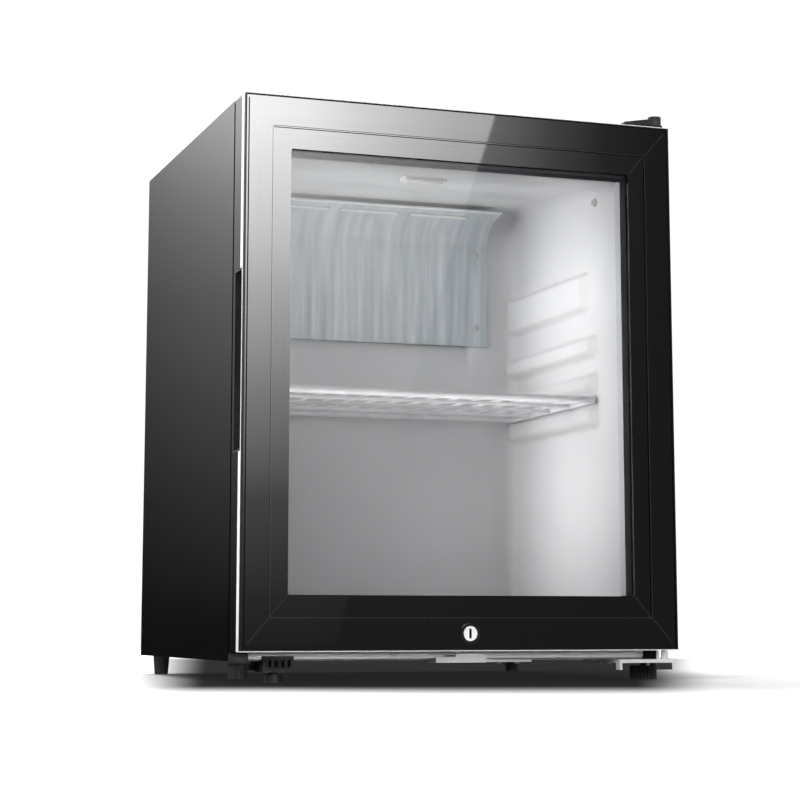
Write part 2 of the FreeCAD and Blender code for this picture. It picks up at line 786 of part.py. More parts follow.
def wedgeCut(side, end, keepStile):
    """Material on the far side of a corner's mitre line."""
    cornerX = "-" + half if side < 0 else half
    cornerZ = doorTop if end > 0 else "door_bottom"
    inward = "+" if side < 0 else "-"
    outward = "-" if side < 0 else "+"
    down = "-" if end > 0 else "+"
    up = "+" if end > 0 else "-"
    far = "(60 * %s)" % mitreSlope
    if keepStile:
        points = [
            (cornerX, cornerZ),
            (cornerX, "%s %s 5" % (cornerZ, up)),
            ("%s %s 60" % (cornerX, inward), "%s %s 5" % (cornerZ, up)),
            ("%s %s 60" % (cornerX, inward), "%s %s %s" % (cornerZ, down, far)),
        ]
    else:
        points = [
            (cornerX, cornerZ),
            ("%s %s 5" % (cornerX, outward), cornerZ),
            ("%s %s 5" % (cornerX, outward), "%s %s %s" % (cornerZ, down, far)),
            ("%s %s 60" % (cornerX, inward), "%s %s %s" % (cornerZ, down, far)),
        ]
    return prism("XZ_Plane", points, "front_face - 2", "20")


def frameProfile(edge, sign, scale):
    """Cross-section of a front profile: (across, depth) pairs from the outer edge."""
    steps = [
        ("trim_skin", "2"), ("groove_end", "2"), ("groove_end", "0"), ("step_inset", "0"),
        ("step_inset", "1.5"), ("stile_width", "1.5"), ("stile_width", "4"), ("3.2", "4"),
        ("3.2", "13"), ("trim_skin", "13"),
    ]
    return [("%s %s (%s) * (%s)" % (edge, sign, across, scale), depth) for across, depth in steps]


def lockCutters():
    bore = rod("y", (lockX, "front_face - 2", lockZ), "lock_radius + 2.6", "25")
    camRoom = box(
        ("lock_offset - 28", "lock_offset + 9"),
        ("front_face + 20", "front_face + 26.5"),
        ("door_bottom - 1", "door_bottom + 22"),
    )
    return bore, camRoom


def bushHoles():
    low = rod("z", (axisX, axisY, "door_bottom - 1"), "bush_radius", "14")
    high = rod("z", (axisX, axisY, "%s - 14" % doorTop), "bush_radius", "15")
    return [low, high]


def gripMouth(fromDepth, toDepth, inX):
    return box(
        ("-%s - 1" % half, "-%s + %s" % (half, inX)),
        ("front_face + %s" % fromDepth, "front_face + %s" % toDepth),
        ("door_bottom + grip_low", "door_bottom + grip_high"),
    )


def doorFrame():
    for side, label in ((-1, "door_stile_left"), (1, "door_stile_right")):
        edge = "-" + half if side < 0 else half
        sign = "+" if side < 0 else "-"
        points = [(a, "front_face + " + d) for a, d in frameProfile(edge, sign, "1")]
        bar = prism("XY_Plane", points, "door_bottom", "%s - door_bottom" % doorTop)
        tools = [wedgeCut(side, 1, True), wedgeCut(side, -1, True)]
        if side < 0:
            tools.append(gripMouth("7", "31", "22"))
        else:
            tools += bushHoles()
        keep(cut(bar, tools), label)
    for end, label in ((1, "door_rail_top"), (-1, "door_rail_bottom")):
        edge = doorTop if end > 0 else "door_bottom"
        sign = "-" if end > 0 else "+"
        pairs = frameProfile(edge, sign, mitreSlope)
        points = [("front_face + " + d, a) for a, d in pairs]
        bar = prism("YZ_Plane", points, "-" + half, "width")
        tools = [wedgeCut(-1, end, False), wedgeCut(1, end, False)] + bushHoles()
        if end < 0:
            tools.append(lockCutters()[0])
        keep(cut(bar, tools), label)


def ring(outX, inX, y, outLow, outHigh, inLow, inHigh):
    outer = box(("-(%s)" % outX, outX), y, (outLow, outHigh))
    hole = box(
        ("-(%s)" % inX, inX),
        ("(%s) - 1" % y[0], "(%s) + 1" % y[1]),
        (inLow, inHigh),
    )
    return cut(outer, [hole])


def doorTrim():
    skinZ = "(trim_skin * %s)" % mitreSlope
    band = ring(
        half, "%s - trim_skin" % half,
        ("front_face + 0.4", "front_face + 13"),
        "door_bottom", doorTop,
        "door_bottom + %s" % skinZ, "%s - %s" % (doorTop, skinZ),
    )
    keep(cut(band, [gripMouth("7", "31", "22")] + bushHoles()), "door_edge_trim")


def doorGlass():
    bite = "glass_bite"
    outX = "(%s - stile_width + %s)" % (half, bite)
    low = "(door_bottom + rail_height - %s)" % bite
    high = "(%s - rail_height + %s)" % (doorTop, bite)
    first = "(front_face + 4)"
    second = "(%s + pane_thick)" % first
    third = "(%s + spacer_thick)" % second
    fourth = "(%s + pane_thick)" % third
    keep(box(("-" + outX, outX), (first, second), (low, high)), "glass_outer")
    keep(box(("-" + outX, outX), (third, fourth), (low, high)), "glass_inner")
    inX = "(%s - stile_width - spacer_band)" % half
    inLow = "(door_bottom + rail_height + spacer_band)"
    inHigh = "(%s - rail_height - spacer_band)" % doorTop
    spacer = ring("%s - 2" % outX, inX, (second, third), "%s + 2" % low, "%s - 2" % high, inLow, inHigh)
    keep(spacer, "glass_spacer")

    backX = "(%s - 1)" % inX
    tail = box(
        ("-" + half, half), ("front_face + 13", doorBack), ("door_bottom", doorTop))
    nose = box(
        ("-%s + 3.2" % half, "%s - 3.2" % half),
        ("front_face + 4", "front_face + 13"),
        ("door_bottom + 3.2 * %s" % mitreSlope, "%s - 3.2 * %s" % (doorTop, mitreSlope)),
    )
    pocket = box(("-" + outX, outX), ("front_face + 3", fourth), (low, high))
    window = box(
        ("-(%s + 1.5)" % inX, "%s + 1.5" % inX),
        ("front_face + 20", "%s + 2" % doorBack),
        ("%s - 1.5" % inLow, "%s + 1.5" % inHigh),
    )
    bore, camRoom = lockCutters()
    tools = [pocket, window, bore, camRoom, gripMouth("7", "31", "22")] + bushHoles()
    for piece in cornerKeys():
        tools.append(piece)
    keep(cut(fuse([tail, nose]), tools), "door_inner_frame")


def inFrom(low, high, near, far):
    """The span from near to far inside the lower or the upper of two outer edges."""
    if high is None:
        return ("%s + %g" % (low, near), "%s + %g" % (low, far))
    return ("%s - %g" % (high, far), "%s - %g" % (high, near))


def cornerKeys():
    keys = []
    y = ("front_face + 4", "front_face + 7")
    for left, right in (("-" + half, None), (None, half)):
        for low, high in (("door_bottom", None), (None, doorTop)):
            level = box(inFrom(left, right, 14, 54), y, inFrom(low, high, 14, 24))
            upright = box(inFrom(left, right, 14, 24), y, inFrom(low, high, 14, 54))
            keys.append(fuse([level, upright]))
    return keys


def doorSeal():
    band = ring(
        "%s - 12" % half, "%s - 26" % half, (doorBack, "%s + gasket_gap" % doorBack),
        "door_bottom + 12", "%s - 15" % doorTop, "door_bottom + 21", "%s - 29" % doorTop,
    )
    room = ring(
        "%s - 15" % half, "%s - 23" % half, ("%s + 1" % doorBack, "%s + 3" % doorBack),
        "door_bottom + 14", "%s - 18" % doorTop, "door_bottom + 19", "%s - 26" % doorTop,
    )
    keep(cut(band, [room]), "door_gasket")
    strips = []
    y = ("%s + 1" % doorBack, "%s + 3" % doorBack)
    for left, right in (("-" + half, None), (None, half)):
        upright = ("door_bottom + 19.5", "%s - 26.5" % doorTop)
        strips.append(box(inFrom(left, right, 15, 23), y, upright))
    middle = ("-%s + 24" % half, "%s - 24" % half)
    strips.append(box(middle, y, ("%s - 26" % doorTop, "%s - 18" % doorTop)))
    strips.append(box(middle, y, ("door_bottom + 14", "door_bottom + 19")))
    keep(group(strips), "gasket_magnets")


def grip():
    block = box(
        ("-" + half, "-%s + 22" % half),
        ("front_face + 7", "front_face + 31"),
        ("door_bottom + grip_low", "door_bottom + grip_high"),
    )
    scoop = prism(
        "XY_Plane",
        [
            ("-%s - 3" % half, "front_face + 5.2"),
            ("-%s + 11" % half, "front_face + 19"),
            ("-%s + 11" % half, "front_face + 29"),
            ("-%s - 3" % half, "front_face + 29"),
        ],
        "door_bottom + grip_low + 2", "grip_high - grip_low - 4",
    )
    slot = box(
        ("-%s + 8" % half, "-%s + 19" % half),
        ("front_face + 19", "front_face + 29"),
        ("door_bottom + grip_low + 14", "door_bottom + grip_high - 12"),
    )
    keep(cut(block, [scoop, slot]), "grip_insert")


def lock():
    collar = rod("y", (lockX, "front_face - 1", lockZ), "lock_radius + 2.6", "23.5")
    bore = rod("y", (lockX, "front_face - 2", lockZ), "lock_radius + running_gap", "26")
    keep(cut(collar, [bore]), "lock_housing")

    plug = rod("y", (lockX, "front_face - 0.6", lockZ), "lock_radius", "23.6")
    slot = box(
        ("lock_offset - 0.8", "lock_offset + 0.8"),
        ("front_face - 1", "front_face + 8"),
        ("%s - 3.4" % lockZ, "%s + 3.4" % lockZ),
    )
    mark = box(
        ("lock_offset - 0.6", "lock_offset + 0.6"),
        ("front_face - 1", "front_face + 0.2"),
        ("%s + 5" % lockZ, "%s + 7" % lockZ),
    )
    keep(cut(plug, [slot, mark]), "lock_plug")

    hub = rod("y", (lockX, "front_face + 23", lockZ), "5.5", "2.4")
    blade = box(
        ("lock_offset - 22", lockX),
        ("front_face + 23", "front_face + 25.4"),
        ("%s - 4.5" % lockZ, "%s + 4.5" % lockZ),
    )
    keep(fuse([hub, blade]), "lock_cam")


def doorBushes():
    bushes = []
    for low, height in (("door_bottom", "13"), ("%s - 14" % doorTop, "14")):
        sleeve = rod("z", (axisX, axisY, low), "bush_radius", height)
        bore = rod("z", (axisX, axisY, "(%s) - 1" % low), "pin_radius + running_gap", "16")
        bushes.append(cut(sleeve, [bore]))
    keep(group(bushes), "door_hinge_bushes")


def pipe(points, radius, bend, label):
    """A bent tube along a list of corner points, in coordinates from the back panel."""
    origin = FreeCAD.Vector(0, number(panelY), number(baseZ))
    corners = [FreeCAD.Vector(*p) for p in points]
    edges = []
    start = corners[0]
    for i in range(1, len(corners) - 1):
        before = (corners[i - 1] - corners[i]).normalize()
        after = (corners[i + 1] - corners[i]).normalize()
        angle = before.getAngle(after)
        reach = bend / math.tan(angle / 2)
        first = corners[i] + before * reach
        last = corners[i] + after * reach
        toward = (before + after).normalize()
        middle = corners[i] + toward * (bend / math.sin(angle / 2) - bend)
        edges.append(Part.makeLine(start, first))
        edges.append(Part.Arc(first, middle, last).toShape())
        start = last
    edges.append(Part.makeLine(start, corners[-1]))
    wire = Part.Wire(edges)
    direction = (corners[1] - corners[0]).normalize()
    ringWire = Part.Wire(Part.makeCircle(radius, corners[0], direction))
    solid = wire.makePipeShell([ringWire], True, False)
    feature = doc.addObject("Part::Feature", scratch("pipe"))
    feature.Shape = solid
    feature.Placement = FreeCAD.Placement(origin, FreeCAD.Rotation())
    return keep(feature, label)


def coolingUnit():
    tubeZ = "%s - 100" % topZ
    plug = box(("-" + windowX, windowX), ("%s + 19" % innerBack, panelY), (plugLow, plugHigh))
    tubeHoles = []
    for x in ("-60", "60"):
        tubeHoles.append(rod("y", (x, "%s + 10" % innerBack, tubeZ), "tube_radius", "40"))
    keep(cut(plug, tubeHoles), "unit_plug")

    cover = box(
        ("-(%s - 8)" % coverX, "%s - 8" % coverX),
        ("%s + sheet_skin" % panelY, "%s + 2.2" % panelY),
        ("%s - 12" % plugLow, "%s + 12" % plugHigh),
    )
    coverBase = box(
        ("-" + windowX, windowX),
        (panelY, "%s + sheet_skin" % panelY),
        (plugLow, plugHigh),
    )
    plate = cut(fuse([cover, coverBase]), tubeHoles + screwHoles("y", unitSeats, "9", "14"))
    keep(plate, "unit_mount_plate")

    radius = number("tube_radius")
    high = number("cabinet_height") - 100
    inside = number("liner_skin") + number("back_foam") - 19
    pipe([(-60, -inside, high), (-60, 26, high), (60, 26, high), (60, -inside, high)],
         radius, 14, "evaporator_tube")
    riserTop = high + 44
    riserX = number(boilerX)
    pipe([(riserX, 26, riserTop), (riserX, 26, riserTop + 18), (-30, 26, riserTop + 18),
          (-30, 26, high + radius)], radius, 12, "condenser_tube")
    coil = [(-130, 26, 73), (-130, 26, 110)]
    for level in range(4):
        z = 110 + 38 * level
        coil[-1] = (-130 if level % 2 == 0 else 0, 26, z)
        coil.append((0 if level % 2 == 0 else -130, 26, z + 8))
        coil.append((0 if level % 2 == 0 else -130, 26, z + 38))
    coil[-1] = (-130, 26, 262)
    coil.append((0, 26, 270))
    coil.append((0, 26, high - radius))
    pipe(coil, 8, 13, "absorber_coil")

    fins = []
    finZ = "(%s + cabinet_height - 100 + 62)" % baseZ
    finY = "(%s + 26)" % panelY
    for i in range(22):
        x = "%s - %g" % (boilerX, 24 + 6.2 * i)
        fins.append(box(
            (x, x + " + 0.8"),
            ("%s - 18" % finY, "%s + 18" % finY),
            ("%s - 20" % finZ, "%s + 20" % finZ),
        ))
    bar = rod("x", ("-30", finY, finZ), "tube_radius", "%s + 18" % boilerX)
    sheets = [cut(fin, [bar]) for fin in fins]
    keep(group(sheets), "condenser_fins")

    caseX = ("%s - 24" % boilerX, "%s + 24" % boilerX)
    roomX = ("%s - 23" % boilerX, "%s + 23" % boilerX)
    caseY = ("%s + 2.2" % panelY, "%s + 50" % panelY)
    caseZ = ("%s + 42" % baseZ, "%s - 25" % plugLow)
    case = box(caseX, caseY, caseZ)
    roomY = ("%s + 3.2" % panelY, "%s + 49" % panelY)
    roomZ = ("%s + 43" % baseZ, "%s - 26" % plugLow)
    room = box(roomX, roomY, roomZ)
    way = rod("z", (boilerX, "%s + 26" % panelY, "%s + 30" % baseZ), "boiler_radius", "400")
    keep(cut(case, [room, way]), "boiler_case")
    wool = box(roomX, roomY, roomZ)
    keep(cut(wool, [way]), "boiler_insulation")
    riserLow = "(%s + 30)" % baseZ
    riser = rod("z", (boilerX, finY, riserLow), "boiler_radius", "cabinet_height - 100 + 44 - 30")
    heaterRoom = rod("z", (boilerX, finY, "%s - 1" % riserLow), "4", "81")
    keep(cut(riser, [heaterRoom]), "boiler_tube")
    keep(rod("z", (boilerX, finY, "%s - 4" % riserLow), "4", "84"), "heater_element")

    vesselZ = "(%s + 50)" % baseZ
    vessel = rod("x", ("-145", finY, vesselZ), "vessel_radius", "215")
    liquor = rod("x", ("70", finY, "%s - 14" % vesselZ), "4", "%s - 79.8" % boilerX)
    keep(cut(fuse([vessel, liquor]), [way]), "absorber_vessel")

    brackets = []
    for low in (-112, 34):
        saddle = box(
            ("%g" % low, "%g" % (low + 14)),
            ("%s + sheet_skin" % panelY, "%s + 14" % panelY),
            ("%s - 14" % vesselZ, "%s + 14" % vesselZ),
        )
        brackets.append(cut(saddle, [rod("x", ("-145", finY, vesselZ), "vessel_radius", "215")]))
    brackets.append(box(
        ("%s - 18" % boilerX, "%s + 18" % boilerX),
        ("%s + sheet_skin" % panelY, "%s + 2.2" % panelY),
        ("%s + 120" % baseZ, "%s + 150" % baseZ),
    ))
    keep(group(brackets), "unit_brackets")


def controls():
    boxY = ("%s + sheet_skin" % panelY, "%s + 42" % panelY)
    boxZ = ("%s + 300" % baseZ, "%s + 390" % baseZ)
    boxX = ("-%s + 6" % half, "-%s + 56" % half)
    knobX = "(-%s + 31)" % half
    knobZ = "(%s + 360)" % baseZ
    body = box(boxX, boxY, boxZ)
    shaftRoom = rod("y", (knobX, "%s + 30" % panelY, knobZ), "3", "20")
    keep(cut(body, [shaftRoom]), "control_box")

    grip = rod("y", (knobX, "%s + 42.3" % panelY, knobZ), "13", "3")
    dome = rod("y", (knobX, "%s + 45" % panelY, knobZ), "10.5", "5")
    bar = box(
        ("%s - 2" % knobX, "%s + 2" % knobX),
        ("%s + 45" % panelY, "%s + 51.5" % panelY),
        ("%s - 10" % knobZ, "%s + 11.5" % knobZ),
    )
    shaft = rod("y", (knobX, "%s + 31" % panelY, knobZ), "3 - running_gap", "12")
    keep(fuse([grip, dome, bar, shaft]), "thermostat_knob")

    glandX = "(-%s + 31)" % half
    glandY = "(%s + 21)" % panelY
    nut = rod("z", (glandX, glandY, "%s + 296" % baseZ), "8", "4")
    nose = rod("z", (glandX, glandY, "%s + 286" % baseZ), "5.5", "10")
    bore = rod("z", (glandX, glandY, "%s + 280" % baseZ), "3.4", "20")
    keep(cut(fuse([nut, nose]), [bore]), "cord_gland")


def fasteners():
    solids = screwSet("z", 1, topHingeSeats)
    solids += screwSet("z", -1, lowHingeSeats + strikeSeats)
    solids += screwSet("y", -1, evaporatorSeats)
    solids += screwSet("y", 1, unitSeats)
    keep(group(solids), "cabinet_screws")


print("sizes set")
buildShell()
ventGrille()
basePlate()
frontBeam()
backPanel()
liner()
foam()
evaporator()
lampAndSensor()
drain()
shelf()
print("cabinet drawn")
hinges()
strike()
feet()
doorFrame()
doorTrim()
doorGlass()
keep(group(cornerKeys()), "corner_keys")
doorSeal()
grip()
lock()
doorBushes()
print("door drawn")
coolingUnit()
controls()
fasteners()
doc.recompute()

faults = []
for item in doc.Objects:
    if "Invalid" in item.State or "Error" in item.State:
        faults.append(item.Label)
for item in parts:
    if item.Shape.isNull() or not item.Shape.isValid():
        faults.append(item.Label + " shape")
if faults:
    raise RuntimeError("not built: " + ", ".join(faults))
for item in parts:
    item.Shape.exportStep("parts/%s.step" % item.Label)
print("wrote", len(parts), "sub-parts")
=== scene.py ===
import math
import bmesh
import bpy
from mathutils import Matrix, Vector


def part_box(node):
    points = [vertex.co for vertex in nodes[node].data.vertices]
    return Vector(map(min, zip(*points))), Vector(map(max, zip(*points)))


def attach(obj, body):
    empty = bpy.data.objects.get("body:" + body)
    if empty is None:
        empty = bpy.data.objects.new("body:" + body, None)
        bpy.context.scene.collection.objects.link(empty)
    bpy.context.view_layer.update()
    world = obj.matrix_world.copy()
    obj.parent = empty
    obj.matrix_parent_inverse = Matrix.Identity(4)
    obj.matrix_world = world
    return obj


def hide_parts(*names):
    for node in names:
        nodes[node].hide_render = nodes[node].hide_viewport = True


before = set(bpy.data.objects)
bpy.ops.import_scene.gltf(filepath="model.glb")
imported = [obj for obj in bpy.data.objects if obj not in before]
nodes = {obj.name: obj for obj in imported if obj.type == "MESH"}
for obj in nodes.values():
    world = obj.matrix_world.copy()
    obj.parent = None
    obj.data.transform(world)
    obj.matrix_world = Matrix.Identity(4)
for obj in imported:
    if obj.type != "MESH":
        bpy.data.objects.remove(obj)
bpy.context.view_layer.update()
print("frame loaded", len(nodes))


def addNode(tree, kind, **props):
    node = tree.nodes.new(kind)
    for key, value in props.items():
        setattr(node, key, value)
    return node


def link(tree, *pairs):
    # each pair is what goes in, an output socket or a plain value, and the input it goes to
    for value, end in pairs:
        if isinstance(value, bpy.types.NodeSocket):
            tree.links.new(value, end)
        elif end.type == "RGBA":
            end.default_value = (*((value,) * 3 if isinstance(value, (int, float)) else value), 1)
        else:
            end.default_value = value


def calc(tree, operation, *values):
    node = addNode(tree, "ShaderNodeMath", operation=operation)
    link(tree, *zip(values, node.inputs))
    return node.outputs[0]


def split(tree, vector):
    node = addNode(tree, "ShaderNodeSeparateXYZ")
    link(tree, (vector, node.inputs[0]))
    return node.outputs


def objectPlace(tree):
    return addNode(tree, "ShaderNodeTexCoord").outputs["Object"]


def objectNoise(tree, scale, stretch=(1, 1, 1), detail=4, rough=0.55):
    mapping = addNode(tree, "ShaderNodeMapping")
    noise = addNode(tree, "ShaderNodeTexNoise")
    link(tree, (objectPlace(tree), mapping.inputs["Vector"]), (stretch, mapping.inputs["Scale"]),
         (mapping.outputs["Vector"], noise.inputs["Vector"]), (scale, noise.inputs["Scale"]),
         (detail, noise.inputs["Detail"]), (rough, noise.inputs["Roughness"]))
    return noise.outputs["Fac"]


def spread(tree, value, low, high, fromLow=0.3, fromHigh=0.7, kind="LINEAR"):
    node = addNode(tree, "ShaderNodeMapRange", interpolation_type=kind)
    link(tree, (value, node.inputs["Value"]), (fromLow, node.inputs["From Min"]),
         (fromHigh, node.inputs["From Max"]), (low, node.inputs["To Min"]), (high, node.inputs["To Max"]))
    return node.outputs["Result"]


def mixColour(tree, factor, first, second, kind="MIX"):
    node = addNode(tree, "ShaderNodeMix", data_type="RGBA", blend_type=kind)
    amount = [s for s in node.inputs if s.type == "VALUE"][0]
    colours = [s for s in node.inputs if s.type == "RGBA"]
    link(tree, (factor, amount), (first, colours[0]), (second, colours[1]))
    return [s for s in node.outputs if s.type == "RGBA"][0]


def clearTree(owner):
    owner.use_nodes = True
    owner.node_tree.nodes.clear()
    return owner.node_tree


def newMaterial(name):
    material = bpy.data.materials.new(name)
    tree = clearTree(material)
    out = addNode(tree, "ShaderNodeOutputMaterial")
    shader = addNode(tree, "ShaderNodeBsdfPrincipled")
    link(tree, (shader.outputs["BSDF"], out.inputs["Surface"]))
    return material, tree, shader


def zoneMask(tree, settings, join):
    # 1 where the place along one axis, or its distance from a middle, is past a limit
    mask = None
    for axis, middle, start, end in settings:
        value = split(tree, objectPlace(tree))[axis]
        if middle is not None:
            value = calc(tree, "ABSOLUTE", calc(tree, "SUBTRACT", value, middle))
        part = spread(tree, value, 0, 1, start, end)
        mask = part if mask is None else calc(tree, join, mask, part)
    return mask


def surface(name, settings):
    # one recipe for most finishes: mottled colour, uneven gloss, fine relief, worn edges
    take = settings.get
    material, tree, shader = newMaterial(name)
    stretch = take("stretch", (1, 1, 1))
    mottle = spread(tree, objectNoise(tree, take("mottleScale", 12), stretch, 5), 0, 1)
    colour = mixColour(tree, mottle, settings["dark"], settings["light"])
    if "wear" in settings:
        geometry = addNode(tree, "ShaderNodeNewGeometry")
        edge = spread(tree, geometry.outputs["Pointiness"], 0, 1, 0.52, 0.62)
        patches = spread(tree, objectNoise(tree, 60, (1, 1, 1), 6, 0.7), 0, settings["wear"], 0.4, 0.65)
        colour = mixColour(tree, calc(tree, "MULTIPLY", edge, patches), colour, settings["wearColour"])
    if "zone" in settings:  # a second colour in part of the piece, used for painted shade in the trim groove, the inner frame edges and the lock key slot
        mask = zoneMask(tree, settings["zone"], take("zoneJoin", "MAXIMUM"))
        colour = mixColour(tree, mask, colour, mixColour(tree, mottle, *settings["zoneColours"]))
    gloss = objectNoise(tree, take("glossScale", 30), stretch, 4)
    grain = objectNoise(tree, take("grainScale", 400), take("grainStretch", (1, 1, 1)), 3)
    bump = addNode(tree, "ShaderNodeBump")
    parts = shader.inputs
    link(tree, (colour, parts["Base Color"]), (spread(tree, gloss, *settings["rough"]), parts["Roughness"]),
         (grain, bump.inputs["Height"]), (settings["grain"], bump.inputs["Strength"]),
         (take("grainDepth", 0.0002), bump.inputs["Distance"]), (bump.outputs["Normal"], parts["Normal"]),
         (take("metallic", 0), parts["Metallic"]), (0.5, parts["Specular IOR Level"]),
         (take("coat", 0), parts["Coat Weight"]), (take("coatRough", 0.1), parts["Coat Roughness"]),
         (take("glowColour", 1), parts["Emission Color"]), (take("glow", 0), parts["Emission Strength"]))
    if "reflectionFade" in settings:  # painted shade: the reflection weakens from one end of an axis to the other, so that end reads darker
        axis, start, end, low = settings["reflectionFade"]
        fade = spread(tree, split(tree, objectPlace(tree))[axis], 1, low, start, end)
        for label in ("Specular IOR Level", "Coat Weight"):
            link(tree, (calc(tree, "MULTIPLY", fade, parts[label].default_value), parts[label]))
    return material


